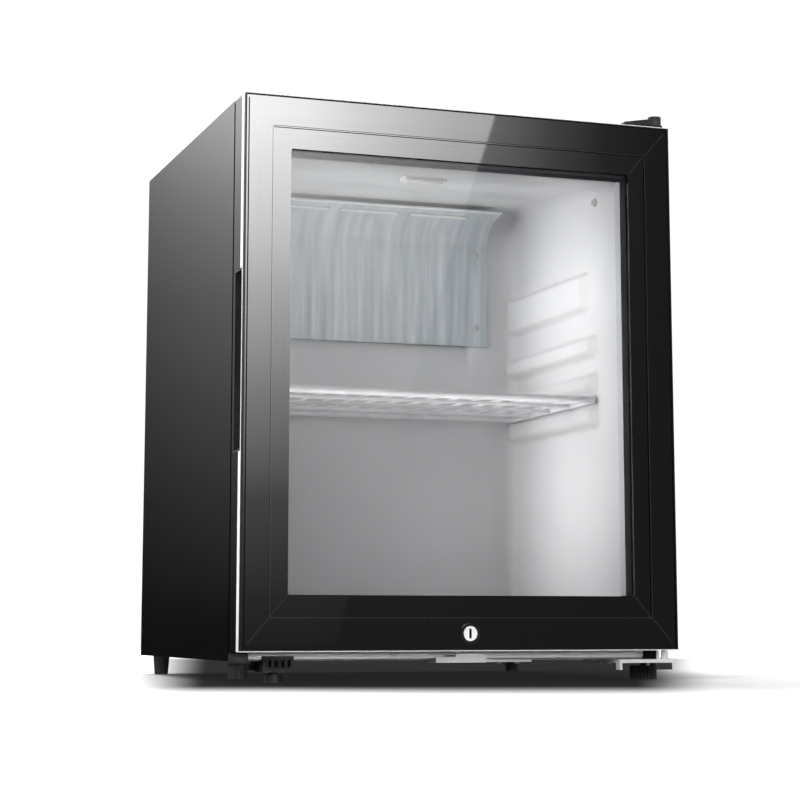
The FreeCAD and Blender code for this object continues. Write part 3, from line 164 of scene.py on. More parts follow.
finishes = {
    "shellPaint": {
        "dark": 0.002, "light": 0.0035, "mottleScale": 5,
        "rough": (0.122, 0.135), "glossScale": 9, "grainScale": 900, "grain": 0.012,
        # painted shade: the side panels reflect less towards the back
        "grainDepth": 0.00005, "coat": 0.5, "coatRough": 0.06, "reflectionFade": ("Y", -0.153, 0.193, 0.4),
    },
    "brushedUp": {
        "dark": (0.238, 0.238, 0.241), "light": (0.246, 0.246, 0.248), "metallic": 1,
        "stretch": (60, 60, 0.8), "mottleScale": 10, "rough": (0.014, 0.03), "glossScale": 14,
        "grainScale": 60, "grainStretch": (60, 60, 1), "grain": 0.004, "grainDepth": 0.00002,
    },
    "brushedAcross": {
        "dark": (0.235, 0.235, 0.238), "light": (0.247, 0.247, 0.249), "metallic": 1,
        "stretch": (0.8, 60, 60), "mottleScale": 10, "rough": (0.014, 0.03), "glossScale": 14,
        "grainScale": 60, "grainStretch": (1, 60, 60), "grain": 0.004, "grainDepth": 0.00002,
    },
    "silver": {
        "dark": (0.68, 0.68, 0.69), "light": 0.78, "metallic": 0.2,
        "mottleScale": 5, "rough": (0.26, 0.34), "grainScale": 700, "grain": 0.03,
    },
    "trimSilver": {
        "dark": (0.76, 0.76, 0.77), "light": 0.82, "metallic": 0.1,
        "mottleScale": 5, "rough": (0.28, 0.36), "grainScale": 700, "grain": 0.02,
        # painted shade: the zone darkens a thin strip along the trim's front edge, away from its ends, as
        # the groove's shadow line
        "zone": [("Y", None, -0.1876, -0.1878), ("Z", 0.2626, 0.2362, 0.2358)], "zoneJoin": "MINIMUM",
        "zoneColours": (0.008, 0.012),
    },
    "innerFrame": {
        "dark": (0.70, 0.70, 0.73), "light": (0.78, 0.78, 0.81), "mottleScale": 12,
        "rough": (0.13, 0.17), "grainScale": 1100, "grain": 0.03, "coat": 0.5, "coatRough": 0.07,
        # painted shade: the zone paints the frame's outer edges near black, the shade band seen under the
        # door's top rail
        "zone": [("X", 0, 0.1606, 0.161), ("Z", 0.2626, 0.1886, 0.189)],
        "zoneColours": (0.003, 0.005),
    },
    # painted highlight: a slightly brighter metal for the seam strips
    "seamHighlight": {
        "dark": (0.255, 0.255, 0.257), "light": (0.27, 0.27, 0.272), "metallic": 0.95,
        "mottleScale": 20, "rough": (0.05, 0.08), "grainScale": 400, "grain": 0.01,
    },
    "hingeDark": {
        "dark": (0.03, 0.03, 0.031), "light": (0.07, 0.07, 0.072), "metallic": 0.4,
        "mottleScale": 20, "rough": (0.14, 0.24), "grainScale": 500, "grain": 0.08,
    },
    "lockFace": {
        "dark": 0.01, "light": 0.02, "metallic": 0.15,
        # painted shade: the zone leaves a dark rectangle in the pale face, the shade inside the key slot
        "zone": [("X", 0.0027, 0.001, 0.0012), ("Z", 0.0409, 0.0040, 0.0042)],
        "zoneColours": (0.88, 0.95), "mottleScale": 60,
        "rough": (0.12, 0.2), "grainScale": 900, "grain": 0.03,
    },
    "linerWhite": {
        "dark": (0.66, 0.66, 0.665), "light": (0.71, 0.71, 0.72), "mottleScale": 6,
        "rough": (0.28, 0.40), "glossScale": 20, "grainScale": 650, "grain": 0.05,
    },
    "coverBlue": {
        "dark": (0.42, 0.47, 0.505), "light": (0.66, 0.70, 0.725), "mottleScale": 14,
        "stretch": (9, 1, 0.6), "rough": (0.12, 0.24), "grainScale": 60,
        "grainStretch": (6, 1, 0.5), "grain": 0.12, "grainDepth": 0.0005,
    },
    "blackPlastic": {
        "dark": (0.012, 0.012, 0.013), "light": (0.028, 0.028, 0.030), "mottleScale": 40,
        "rough": (0.34, 0.52), "grainScale": 1400, "grain": 0.25, "wear": 0.4,
        "wearColour": 0.10,
    },
    "greyPlastic": {
        "dark": (0.055, 0.055, 0.058), "light": (0.085, 0.085, 0.088), "mottleScale": 25,
        "rough": (0.32, 0.46), "grainScale": 1100, "grain": 0.18, "wear": 0.3,
        "wearColour": 0.22,
    },
    "hingeSteel": {
        "dark": (0.72, 0.72, 0.73), "light": 0.84, "metallic": 0.35,
        "mottleScale": 12, "rough": (0.16, 0.28), "grainScale": 500, "grain": 0.08,
        "wear": 0.15, "wearColour": (0.95, 0.95, 0.94),
    },
    "zincSheet": {
        "dark": (0.50, 0.51, 0.52), "light": (0.57, 0.58, 0.59), "metallic": 0.85,
        "mottleScale": 90, "rough": (0.32, 0.40), "glossScale": 120, "grainScale": 300, "grain": 0.06,
        "wear": 0.1, "wearColour": 0.7,
    },
    "shelfWhite": {
        "dark": (0.74, 0.74, 0.76), "light": (0.86, 0.86, 0.87), "mottleScale": 50,
        "rough": (0.25, 0.38), "grainScale": 900, "grain": 0.12,
    },
    "spacerBlack": {
        "dark": (0.010, 0.013, 0.022), "light": (0.018, 0.022, 0.036), "mottleScale": 40,
        "rough": (0.35, 0.5), "grainScale": 700, "grain": 0.15,
    },
    "gasketRubber": {
        "dark": 0.012, "light": 0.025, "mottleScale": 30,
        "rough": (0.5, 0.65), "grainScale": 900, "grain": 0.2,
    },
    "chrome": {
        "dark": (0.70, 0.70, 0.71), "light": 0.82, "metallic": 1,
        "mottleScale": 60, "rough": (0.07, 0.16), "grainScale": 900, "grain": 0.04,
        "wear": 0.5, "wearColour": 0.95,
    },
    "lockBlack": {
        "dark": 0.008, "light": 0.016, "mottleScale": 60,
        "rough": (0.15, 0.25), "grainScale": 800, "grain": 0.05,
    },
    "nylon": {
        "dark": (0.62, 0.60, 0.54), "light": (0.74, 0.72, 0.66), "mottleScale": 60,
        "rough": (0.4, 0.55), "grainScale": 900, "grain": 0.15,
    },
    "magnet": {
        "dark": (0.05, 0.045, 0.045), "light": (0.09, 0.085, 0.085), "mottleScale": 60,
        "rough": (0.55, 0.7), "grainScale": 900, "grain": 0.2,
    },
    "foam": {
        "dark": (0.62, 0.54, 0.33), "light": (0.76, 0.68, 0.45), "mottleScale": 40,
        "rough": (0.8, 0.95), "grainScale": 260, "grain": 0.6, "grainDepth": 0.001,
    },
    "wool": {
        "dark": (0.48, 0.42, 0.32), "light": (0.66, 0.60, 0.48), "mottleScale": 80,
        "rough": (0.85, 1.0), "grainScale": 300, "grain": 0.8, "grainDepth": 0.001,
    },
    "aluminium": {
        "dark": (0.66, 0.67, 0.68), "light": (0.80, 0.80, 0.81), "metallic": 1,
        "stretch": (1, 1, 12), "mottleScale": 20, "rough": (0.26, 0.42),
        "grainScale": 300, "grain": 0.1,
    },
    "unitBlack": {
        "dark": (0.012, 0.012, 0.013), "light": (0.026, 0.026, 0.028), "mottleScale": 30,
        "rough": (0.30, 0.42), "glossScale": 60, "grainScale": 500, "grain": 0.2, "wear": 0.25,
        "wearColour": (0.10, 0.095, 0.09),
    },
    "spacerHole": {
        "dark": (0.05, 0.055, 0.07), "light": (0.09, 0.095, 0.11), "mottleScale": 90,
        "rough": (0.5, 0.7), "grainScale": 900, "grain": 0.1,
    },
    "markWhite": {
        "dark": (0.70, 0.70, 0.69), "light": (0.82, 0.82, 0.81), "mottleScale": 200,
        "rough": (0.4, 0.55), "grainScale": 1500, "grain": 0.1,
    },
    "lens": {
        "dark": (0.62, 0.62, 0.60), "light": (0.70, 0.70, 0.68), "mottleScale": 80,
        "rough": (0.3, 0.45), "grainScale": 400, "grain": 0.2,
        "glow": 0.02, "glowColour": (1.0, 0.98, 0.94),
    },
}
materials = {name: surface(name, settings) for name, settings in finishes.items()}


def glassMaterial(name, tint, ior):
    material, tree, shader = newMaterial(name)
    smear = spread(tree, objectNoise(tree, 9, (1, 1, 0.5), 5), 0.0, 0.008)
    film = spread(tree, objectNoise(tree, 3, (1, 1, 1), 2), 0, 1)
    parts = shader.inputs
    link(tree, (mixColour(tree, film, tint, 1), parts["Base Color"]), (smear, parts["Roughness"]),
         (1, parts["Transmission Weight"]), (ior, parts["IOR"]))
    return material


materials["glassFront"] = glassMaterial("glassFront", (0.975, 0.98, 0.978), 1.52)
materials["glassBack"] = glassMaterial("glassBack", 0.98, 1.2)
print("materials made", len(materials))

# what each CAD node wears, with its edge rounding in mm
dress = {
    "shellPaint": {"outer_shell": 0.5},
    "blackPlastic": {"top_vent_grille": 0.4, "top_hinge_cover": 1, "bottom_hinge_block": 0.6,
        "front_foot_right": 0, "front_foot_left": 0.3, "left_foot_block": 0.6, "left_corner_post": 0,
        "rear_feet": 0.5, "grip_insert": 0.5, "control_box": 1.5, "cord_gland": 0.4},
    "zincSheet": {"base_plate": 0, "back_panel": 0, "unit_mount_plate": 0.3, "boiler_case": 1,
        "unit_brackets": 0.3},
    "silver": {"front_beam": 0.6},
    "linerWhite": {"inner_liner": 1.2, "lamp_housing": 0.6, "sensor_cap": 0.5},
    "foam": {"foam_insulation": 0, "unit_plug": 0},
    "coverBlue": {"evaporator_cover": 0.6},
    "aluminium": {"evaporator_fins": 0, "corner_keys": 0, "condenser_fins": 0},
    "hingeSteel": {"cabinet_screws": 0.2, "top_hinge_pin": 0.3, "bottom_hinge_bracket": 0.4,
        "bottom_hinge_pins": 0.3, "lock_strike": 0.3, "lock_cam": 0.3},
    "lens": {"lamp_lens": 0.8},
    "greyPlastic": {"drain_tube": 0.3, "thermostat_knob": 0.8},
    "shelfWhite": {"wire_shelf": 0},
    "hingeDark": {"top_hinge_bracket": 0.4},
    "brushedUp": {"door_stile_left": 0.25, "door_stile_right": 0.25},
    "brushedAcross": {"door_rail_top": 0.25, "door_rail_bottom": 0.25},
    "trimSilver": {"door_edge_trim": 0.2},
    "glassFront": {"glass_outer": 0},
    "glassBack": {"glass_inner": 0},
    "spacerBlack": {"glass_spacer": 0.3},
    "innerFrame": {"door_inner_frame": 0.6},
    "gasketRubber": {"door_gasket": 0.4},
    "magnet": {"gasket_magnets": 0},
    "lockBlack": {"lock_housing": 0.5},
    "lockFace": {"lock_plug": 0.3},
    "nylon": {"door_hinge_bushes": 0.2},
    "unitBlack": {"evaporator_tube": 0, "condenser_tube": 0, "absorber_coil": 0, "boiler_tube": 0,
        "absorber_vessel": 1.5},
    "wool": {"boiler_insulation": 0},
    "chrome": {"heater_element": 0},
}


def smoothed(mesh, angle):
    mesh.shade_smooth()
    mesh.set_sharp_from_angle(angle=math.radians(angle))


for finish, wearers in dress.items():
    for name, edge in wearers.items():
        item = nodes[name]
        item.data.materials.clear()
        item.data.materials.append(materials[finish])
        smoothed(item.data, 32)
        if edge:
            bevel = item.modifiers.new("edges", "BEVEL")
            bevel.width = edge / 1000
            bevel.segments = 2
            bevel.limit_method = "ANGLE"
            bevel.angle_limit = math.radians(40)
            bevel.harden_normals = True
print("nodes dressed")


def geometryTree(name, inputs):
    tree = bpy.data.node_groups.new(name, "GeometryNodeTree")
    for way in ("INPUT", "OUTPUT"):
        tree.interface.new_socket("Geometry", in_out=way, socket_type="NodeSocketGeometry")
    for label, kind, value in inputs:
        socket = tree.interface.new_socket(label, in_out="INPUT", socket_type="NodeSocket" + kind)
        socket.default_value = value
    source = addNode(tree, "NodeGroupInput")
    out = addNode(tree, "NodeGroupOutput")
    return tree, source.outputs, out


def endTree(tree, geometry, out, material):
    real = addNode(tree, "GeometryNodeRealizeInstances")
    finish = addNode(tree, "GeometryNodeSetMaterial")
    link(tree, (geometry, real.inputs[0]), (real.outputs[0], finish.inputs["Geometry"]),
         (material, finish.inputs["Material"]), (finish.outputs[0], out.inputs["Geometry"]))


def grow(tree, kind, **values):
    # a geometry node with its inputs filled
    node = addNode(tree, "GeometryNode" + kind)
    link(tree, *[(value, node.inputs[label]) for label, value in values.items()])
    return node.outputs[0]


def boolean(tree, operation, base, *others):
    node = addNode(tree, "GeometryNodeMeshBoolean", operation=operation)
    if base:
        link(tree, (base, node.inputs["Mesh 1"]))
    link(tree, *[(other, node.inputs["Mesh 2"]) for other in others])
    return node.outputs["Mesh"]


def copyFacing(tree, points, piece, axis):
    # a copy on each point, with this axis along the point's stored direction
    facing = addNode(tree, "GeometryNodeInputNamedAttribute", data_type="FLOAT_VECTOR")
    turned = addNode(tree, "FunctionNodeAlignRotationToVector", axis=axis)
    link(tree, ("facing", facing.inputs["Name"]), (facing.outputs["Attribute"], turned.inputs["Vector"]))
    return grow(tree, "InstanceOnPoints", Points=points, Instance=piece, Rotation=turned.outputs[0])


def vector(tree, *parts):
    node = addNode(tree, "ShaderNodeCombineXYZ")
    link(tree, *zip(parts, node.inputs))
    return node.outputs[0]


def addObject(name, data):
    item = bpy.data.objects.new(name, data)
    bpy.context.scene.collection.objects.link(item)
    return item


def newPiece(name, mesh, body, replaced=()):
    item = addObject(name, mesh)
    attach(item, body)
    if replaced:
        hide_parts(*replaced)
    return item


def growPiece(name, seed, tree, values, body, replaced=(), angle=None):
    # run a geometry tree on a seed mesh and keep the plain result
    holder = addObject(name + "_seed", seed)
    growth = holder.modifiers.new("grow", "NODES")
    growth.node_group = tree
    for item in tree.interface.items_tree:
        if item.item_type == "SOCKET" and item.in_out == "INPUT" and item.name in values:
            growth[item.identifier] = values[item.name]
    depsgraph = bpy.context.evaluated_depsgraph_get()
    mesh = bpy.data.meshes.new_from_object(holder.evaluated_get(depsgraph))
    holder.modifiers.remove(growth)
    bpy.data.objects.remove(holder)
    mesh.name = name
    if angle:
        smoothed(mesh, angle)
    newPiece(name, mesh, body, replaced)


def pointMesh(name, points, facing=(), edges=(), radii=()):
    mesh = bpy.data.meshes.new(name)
    mesh.from_pydata([tuple(p) for p in points], edges, [])
    for label, kind, field, values in (("facing", "FLOAT_VECTOR", "vector", facing),
                                       ("thickness", "FLOAT", "value", radii)):
        if values:
            layer = mesh.attributes.new(label, kind, "POINT")
            for item, value in zip(layer.data, values):
                setattr(item, field, value)
    return mesh


def meshFrom(name, shape, material, outward=True):
    if outward:
        bmesh.ops.recalc_face_normals(shape, faces=shape.faces)
    mesh = bpy.data.meshes.new(name)
    shape.to_mesh(mesh)
    shape.free()
    mesh.materials.append(material)
    return mesh


def joinRings(shape, rings, closed=False):
    # faces between rings of vertices, each ring joined to the next
    following = rings[1:] + rings[:1] if closed else rings[1:]
    for first, second in zip(rings, following):
        for i in range(len(first)):
            j = (i + 1) % len(first)
            shape.faces.new((first[i], first[j], second[j], second[i]))


def makeScrews(settings):
    tree, source, out = geometryTree("panHeadScrews", [
        ("Head Radius", "Float", 0.003), ("Head Height", "Float", 0.0018),
        ("Shank Radius", "Float", 0.0015), ("Shank Length", "Float", 0.008)])
    radius, height = source["Head Radius"], source["Head Height"]
    ball = grow(tree, "MeshUVSphere", Segments=24, Rings=12, Radius=radius)
    squash = vector(tree, 1, 1, calc(tree, "DIVIDE", height, radius))
    dome = grow(tree, "Transform", Geometry=ball, Scale=squash)
    below = grow(tree, "MeshCube", Size=(0.02, 0.02, 0.02))
    cuts = [grow(tree, "Transform", Geometry=below, Translation=(0, 0, -0.01))]
    wide, thin = calc(tree, "MULTIPLY", radius, 1.2), calc(tree, "MULTIPLY", radius, 0.24)
    for size in ((wide, thin, height), (thin, wide, height)):
        blade = grow(tree, "MeshCube", Size=vector(tree, *size))
        cuts.append(grow(tree, "Transform", Geometry=blade, Translation=vector(tree, 0, 0, height)))
    head = boolean(tree, "DIFFERENCE", dome, boolean(tree, "UNION", None, *cuts))
    length = source["Shank Length"]
    rod = grow(tree, "MeshCylinder", Vertices=16, Radius=source["Shank Radius"], Depth=length)
    sink = vector(tree, 0, 0, calc(tree, "MULTIPLY", length, -0.5))
    screw = addNode(tree, "GeometryNodeJoinGeometry")
    link(tree, (head, screw.inputs[0]),
         (grow(tree, "Transform", Geometry=rod, Translation=sink), screw.inputs[0]))
    copies = copyFacing(tree, source["Geometry"], screw.outputs[0], "Z")
    endTree(tree, copies, out, materials["hingeSteel"])
    growPiece("cabinet_screw_set", pointMesh("screwSeats", settings["seats"], settings["facing"]), tree,
              settings["sizes"], "cabinet", ("cabinet_screws",), 40)


def wireTree():
    tree, source, out = geometryTree("bentWires", [("Sides", "Int", 12), ("Bend Radius", "Float", 0.004)])
    line = grow(tree, "MeshToCurve", Mesh=source["Geometry"])
    thick = addNode(tree, "GeometryNodeInputNamedAttribute", data_type="FLOAT")
    link(tree, ("thickness", thick.inputs["Name"]))
    sized = grow(tree, "SetCurveRadius", Curve=line, Radius=thick.outputs["Attribute"])
    bent = addNode(tree, "GeometryNodeFilletCurve")
    if "Mode" in [s.name for s in bent.inputs]:
        bent.inputs["Mode"].default_value = "Poly"
    else:
        bent.mode = "POLY"
    link(tree, (sized, bent.inputs["Curve"]), (6, bent.inputs["Count"]),
         (source["Bend Radius"], bent.inputs["Radius"]))
    profile = addNode(tree, "GeometryNodeCurvePrimitiveCircle")
    sweep = addNode(tree, "GeometryNodeCurveToMesh")
    link(tree, (source["Sides"], profile.inputs["Resolution"]), (1, profile.inputs["Radius"]),
         (bent.outputs[0], sweep.inputs["Curve"]), (profile.outputs["Curve"], sweep.inputs["Profile Curve"]),
         (True, sweep.inputs["Fill Caps"]))
    if "Scale" in [s.name for s in sweep.inputs]:
        link(tree, (addNode(tree, "GeometryNodeInputRadius").outputs[0], sweep.inputs["Scale"]))
    return tree, sweep.outputs[0], out


def wirePiece(name, lines, sides, bend, material, body, replaced=()):
    # lines: (radius, [points]) pairs, each one wire
    points, edges, radii = [], [], []
    for radius, run in lines:
        start = len(points)
        points += run
        radii += [radius] * len(run)
        edges += [(start + i, start + i + 1) for i in range(len(run) - 1)]
    tree, geometry, out = wireTree()
    endTree(tree, geometry, out, materials[material])
    growPiece(name, pointMesh(name + "_path", points, edges=edges, radii=radii), tree,
              {"Sides": sides, "Bend Radius": bend}, body, replaced, 50)


def makeShelf(settings):
    low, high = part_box("wire_shelf")
    side, front, back = high.x - 0.0025, low.y + 0.0035, high.y - 0.0025
    rail = low.z + 0.0025
    lines = [(0.0035, [(-side, front, rail + 0.001), (side, front, rail + 0.001)])]
    rim = 0.0024
    lines.append((rim, [(-side, front + 0.004, rail), (-side, back, rail), (side, back, rail),
                        (side, front + 0.004, rail)]))
    for i in range(settings["crossWires"]):
        y = front + (back - front) * (i + 1) / (settings["crossWires"] + 1)
        lines.append((0.0017, [(-side, y, rail), (side, y, rail)]))
    top = high.z - settings["wire"]
    for i in range(settings["wires"]):
        x = (i - (settings["wires"] - 1) / 2) / ((settings["wires"] - 1) / 2) * (side - 0.010)
        lines.append((settings["wire"], [(x, front - 0.0005, top), (x, back - 0.001, top)]))
    wirePiece("shelf_wires", lines, settings["sides"], 0.006, "shelfWhite", "shelf",
              ("wire_shelf",))
    # moulded end caps that sit on the liner ribs
    shape = bmesh.new()
    for sign in (-1, 1):
        for y in (front, back):
            cap = bmesh.ops.create_uvsphere(shape, u_segments=20, v_segments=12, radius=1)
            middle = (sign * (side - 0.0002), min(max(y, low.y + 0.0044), high.y - 0.0044), low.z + 0.0043)
            matrix = Matrix.Translation(middle) @ Matrix.Diagonal((0.0026, 0.0044, 0.0042, 1))
            bmesh.ops.transform(shape, matrix=matrix, verts=cap["verts"])
    mesh = meshFrom("shelf_end_caps", shape, materials["shelfWhite"])
    mesh.shade_smooth()
    newPiece("shelf_end_caps", mesh, "shelf")


def smooth(value, start, end):
    t = min(max((value - start) / (end - start), 0), 1)
    return t * t * (3 - 2 * t)


def loopPoints(xLow, xHigh, zLow, zHigh, radius, counts):
    # a rounded rectangle with a fixed number of points on every side
    across, up, bend = counts
    arcs = []
    for sx, sz, turn in ((-1, -1, 180), (1, -1, 270), (1, 1, 0), (-1, 1, 90)):
        cx = xHigh - radius if sx > 0 else xLow + radius
        cz = zHigh - radius if sz > 0 else zLow + radius
        angles = [math.radians(turn + 90 * i / bend) for i in range(bend + 1)]
        arcs.append([(cx + radius * math.cos(a), cz + radius * math.sin(a)) for a in angles])
    points = []
    for k, arc in enumerate(arcs):
        points += arc
        end, start = arc[-1], arcs[(k + 1) % 4][0]
        steps = up if k % 2 else across
        points += [(end[0] + (start[0] - end[0]) * i / steps, end[1] + (start[1] - end[1]) * i / steps)
                   for i in range(1, steps)]
    return points


def addWall(item, thickness):
    wall = item.modifiers.new("wall", "SOLIDIFY")
    wall.thickness = thickness
    wall.offset = -1


def makeLiner(settings):
    low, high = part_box("inner_liner")
    cavity, counts = settings["cavity"], settings["counts"]
    mouth, deep = low.y, high.y - 0.002
    rings = []
    # flange, rolled entry, walls, back corner, back wall to the window
    flange = (low.x, high.x, low.z, high.z)
    rings.append((mouth + 0.0016, flange, 0.003))
    rings.append((mouth, tuple(v + d for v, d in zip(flange, (0.0015, -0.0015, 0.0015, -0.0015))), 0.003))

    def inside(y, grow):
        ceiling = cavity["ceilingFront"] + (y - mouth) / cavity["depth"] * cavity["ceilingRise"]
        wall = cavity["halfWidth"]
        return (-wall - grow, wall + grow, cavity["floor"] - grow, ceiling + grow)

    entry = settings["entryRadius"]
    for i in range(6):
        angle = math.radians(90 * i / 5)
        rings.append((mouth + entry * (1 - math.cos(angle)), inside(mouth, entry * (1 - math.sin(angle))),
                      settings["edgeRadius"] + entry * (1 - math.sin(angle))))
    backBend = settings["backRadius"]
    steps = settings["steps"]
    for i in range(1, steps + 1):
        y = mouth + entry + (deep - backBend - mouth - entry) * i / steps
        rings.append((y, inside(y, 0), settings["edgeRadius"]))
    for i in range(1, 6):
        angle = math.radians(90 * i / 5)
        y = deep - backBend + backBend * math.sin(angle)
        rings.append((y, inside(y, -backBend * (1 - math.cos(angle))), settings["edgeRadius"]))
    loops = []
    for y, (xLow, xHigh, zLow, zHigh), radius in rings:
        loop = []
        for x, z in loopPoints(xLow, xHigh, zLow, zHigh, radius, counts):
            if abs(x) > cavity["halfWidth"] - 0.004 and mouth + entry < y:
                rise = 0
                for zStart, zEnd, yStart in settings["ribs"]:
                    soft = settings["ribSoft"]
                    rise += (smooth(z, zStart, zStart + soft) * (1 - smooth(z, zEnd - soft, zEnd))
                             * smooth(y, yStart, yStart + soft))
                x -= math.copysign(settings["ribDepth"] * min(rise, 1), x)
            loop.append(Vector((x, y, z)))
        loops.append(loop)
    windowLow, windowHigh = settings["window"]
    edge = loopPoints(windowLow[0], windowHigh[0], windowLow[1], windowHigh[1], 0.004, counts)
    for i in range(1, 6):
        t = i / 5
        loops.append([p.lerp(Vector((x, deep, z)), t) for p, (x, z) in zip(loops[len(rings) - 1], edge)])
    shape = bmesh.new()
    joinRings(shape, [[shape.verts.new(p) for p in loop] for loop in loops])
    bmesh.ops.recalc_face_normals(shape, faces=shape.faces)
    floor = Vector((0, 0, cavity["floor"]))
    sample = min(shape.faces, key=lambda f: (f.calc_center_median() - floor).length)
    if sample.normal.z < 0:
        bmesh.ops.reverse_faces(shape, faces=shape.faces)
    mesh = meshFrom("liner_shell", shape, materials["linerWhite"], False)
    mesh.shade_smooth()
    item = newPiece("liner_shell", mesh, "cabinet", ("inner_liner",))
    addWall(item, 0.0014)


def makeEvaporatorCover(settings):
    low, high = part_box("evaporator_cover")
    path = [Vector((0, low.y + a, high.z - b)) for a, b in settings["path"]]
    # even points along the bent path
    runs = []
    for i in range(len(path) - 1):
        p0, p1 = path[max(i - 1, 0)], path[i]
        p2, p3 = path[i + 1], path[min(i + 2, len(path) - 1)]
        for k in range(settings["fine"]):
            t = k / settings["fine"]
            runs.append(0.5 * ((2 * p1) + (p2 - p0) * t + (2 * p0 - 5 * p1 + 4 * p2 - p3) * t * t
                               + (3 * p1 - p0 - 3 * p2 + p3) * t ** 3))
    runs.append(path[-1])
    shape = bmesh.new()
    columns = settings["columns"]
    slotStart, slotEnd = settings["slotSpan"]
    rows = []
    length = [0]
    for a, b in zip(runs, runs[1:]):
        length.append(length[-1] + (b - a).length)
    for k, point in enumerate(runs):
        ahead = runs[min(k + 1, len(runs) - 1)] - runs[max(k - 1, 0)]
        normal = Vector((0, -ahead.z, ahead.y)).normalized()
        if normal.y > 0:
            normal = -normal
        row = []
        for i in range(columns + 1):
            x = low.x + 0.0005 + (high.x - low.x - 0.001) * i / columns
            fade = smooth(length[k], 0.012, 0.03) * smooth(high.x - abs(x), 0.004, 0.014)
            phase = 2 * math.pi * x / settings["ripple"]
            ripple = (math.sin(phase) + 0.8 * math.sin(phase / 2.7 + 1)) * settings["wave"] * fade
            row.append(shape.verts.new(Vector((x, point.y, point.z)) + normal * ripple))
        rows.append(row)
    for k, (first, second) in enumerate(zip(rows, rows[1:])):
        for i in range(columns):
            x = (first[i].co.x + first[i + 1].co.x) / 2
            near = min(abs(x - c) for c in settings["slotCentres"])
            if slotStart < length[k] < slotEnd and near < settings["slotHalf"]:
                continue
            shape.faces.new((first[i], first[i + 1], second[i + 1], second[i]))
    loose = [v for v in shape.verts if not v.link_faces]
    bmesh.ops.delete(shape, geom=loose, context="VERTS")
    bmesh.ops.recalc_face_normals(shape, faces=shape.faces)
    sample = max(shape.faces, key=lambda f: -f.calc_center_median().z)
    if sample.normal.y > 0:
        bmesh.ops.reverse_faces(shape, faces=shape.faces)
    mesh = meshFrom("evaporator_shield", shape, materials["coverBlue"], False)
    mesh.shade_smooth()
    item = newPiece("evaporator_shield", mesh, "cabinet", ("evaporator_cover",))
    addWall(item, 0.0016)
    rounded = item.modifiers.new("edges", "BEVEL")
    rounded.width = 0.0004
    rounded.segments = 2
    rounded.angle_limit = math.radians(50)
    # a rounded bead along the front lip and a bar at each slot, in a whiter finish than the cover: painted
    # highlights on the lip and slot edges
    lip = runs[0] + Vector((0, 0.0008, -0.0002))
    highlightRolls = [(0.0013, [(low.x + 0.001, lip.y, lip.z), (high.x - 0.001, lip.y, lip.z)])]
    middle = runs[min(i for i, run in enumerate(length) if run > (slotStart + slotEnd) / 2)]
    for centre in settings["slotCentres"]:
        half = settings["slotHalf"] - 0.001
        highlightRolls.append((0.0017, [(centre - half, middle.y, middle.z), (centre + half, middle.y, middle.z)]))
    wirePiece("evaporator_lip_highlights", highlightRolls, 12, 0.001, "markWhite", "cabinet")


def makeFins(settings):
    tree, source, out = geometryTree("tubeFins", [
        ("Count", "Int", 20), ("Pitch", "Float", 0.0062), ("Start", "Vector", (0, 0, 0)),
        ("Size", "Vector", (0.0008, 0.036, 0.04)), ("Hole", "Float", 0.006), ("Lip", "Float", 0.0)])
    line = grow(tree, "MeshLine", Count=source["Count"], Offset=vector(tree, source["Pitch"], 0, 0),
                **{"Start Location": source["Start"]})
    across = (0, math.radians(90), 0)
    bore = grow(tree, "MeshCylinder", Vertices=24, Depth=0.01, Radius=source["Hole"])
    collar = grow(tree, "MeshCylinder", Vertices=24, Depth=source["Lip"],
                  Radius=calc(tree, "ADD", source["Hole"], 0.0007))
    bore, collar = [grow(tree, "Transform", Geometry=g, Rotation=across) for g in (bore, collar)]
    sheet = boolean(tree, "UNION", None, grow(tree, "MeshCube", Size=source["Size"]), collar)
    fin = boolean(tree, "DIFFERENCE", sheet, bore)
    endTree(tree, grow(tree, "InstanceOnPoints", Points=line, Instance=fin), out, materials["aluminium"])
    low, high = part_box("condenser_fins")
    thick = settings["thick"]
    middle = (low + high) / 2
    growPiece("condenser_fin_stack", pointMesh("finSeed", [(0, 0, 0)]), tree, {
        "Count": settings["count"], "Pitch": (high.x - low.x - thick) / (settings["count"] - 1),
        "Start": (low.x + thick / 2, middle.y, middle.z),
        "Size": (thick, high.y - low.y, high.z - low.z), "Hole": 0.0061, "Lip": 0.0024,
    }, "cabinet", ("condenser_fins",), 35)


def makeSpacerDots(settings):
    tree, source, out = geometryTree("spacerHoles", [("Dot Radius", "Float", 0.0005)])
    disc = grow(tree, "MeshCylinder", Vertices=10, Depth=0.0002, Radius=source["Dot Radius"])
    endTree(tree, copyFacing(tree, source["Geometry"], disc, "Z"), out, materials["spacerHole"])
    low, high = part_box("glass_spacer")
    band, pitch = settings["band"], settings["pitch"]
    xIn, zLow, zHigh = high.x - band, low.z + band, high.z - band
    dots = []
    for y in (low.y + 0.004, high.y - 0.004):
        for i in range(int((zHigh - zLow - 0.01) / pitch)):
            z = zLow + 0.005 + pitch * i
            dots += [((sign * xIn, y, z), (-sign, 0, 0)) for sign in (-1, 1)]
        for i in range(int((2 * xIn - 0.01) / pitch)):
            x = -xIn + 0.005 + pitch * i
            dots += [((x, y, zLow), (0, 0, 1)), ((x, y, zHigh), (0, 0, -1))]
    growPiece("spacer_holes", pointMesh("spacerHoleSeats", *zip(*dots)), tree,
              {"Dot Radius": settings["radius"]}, "door")


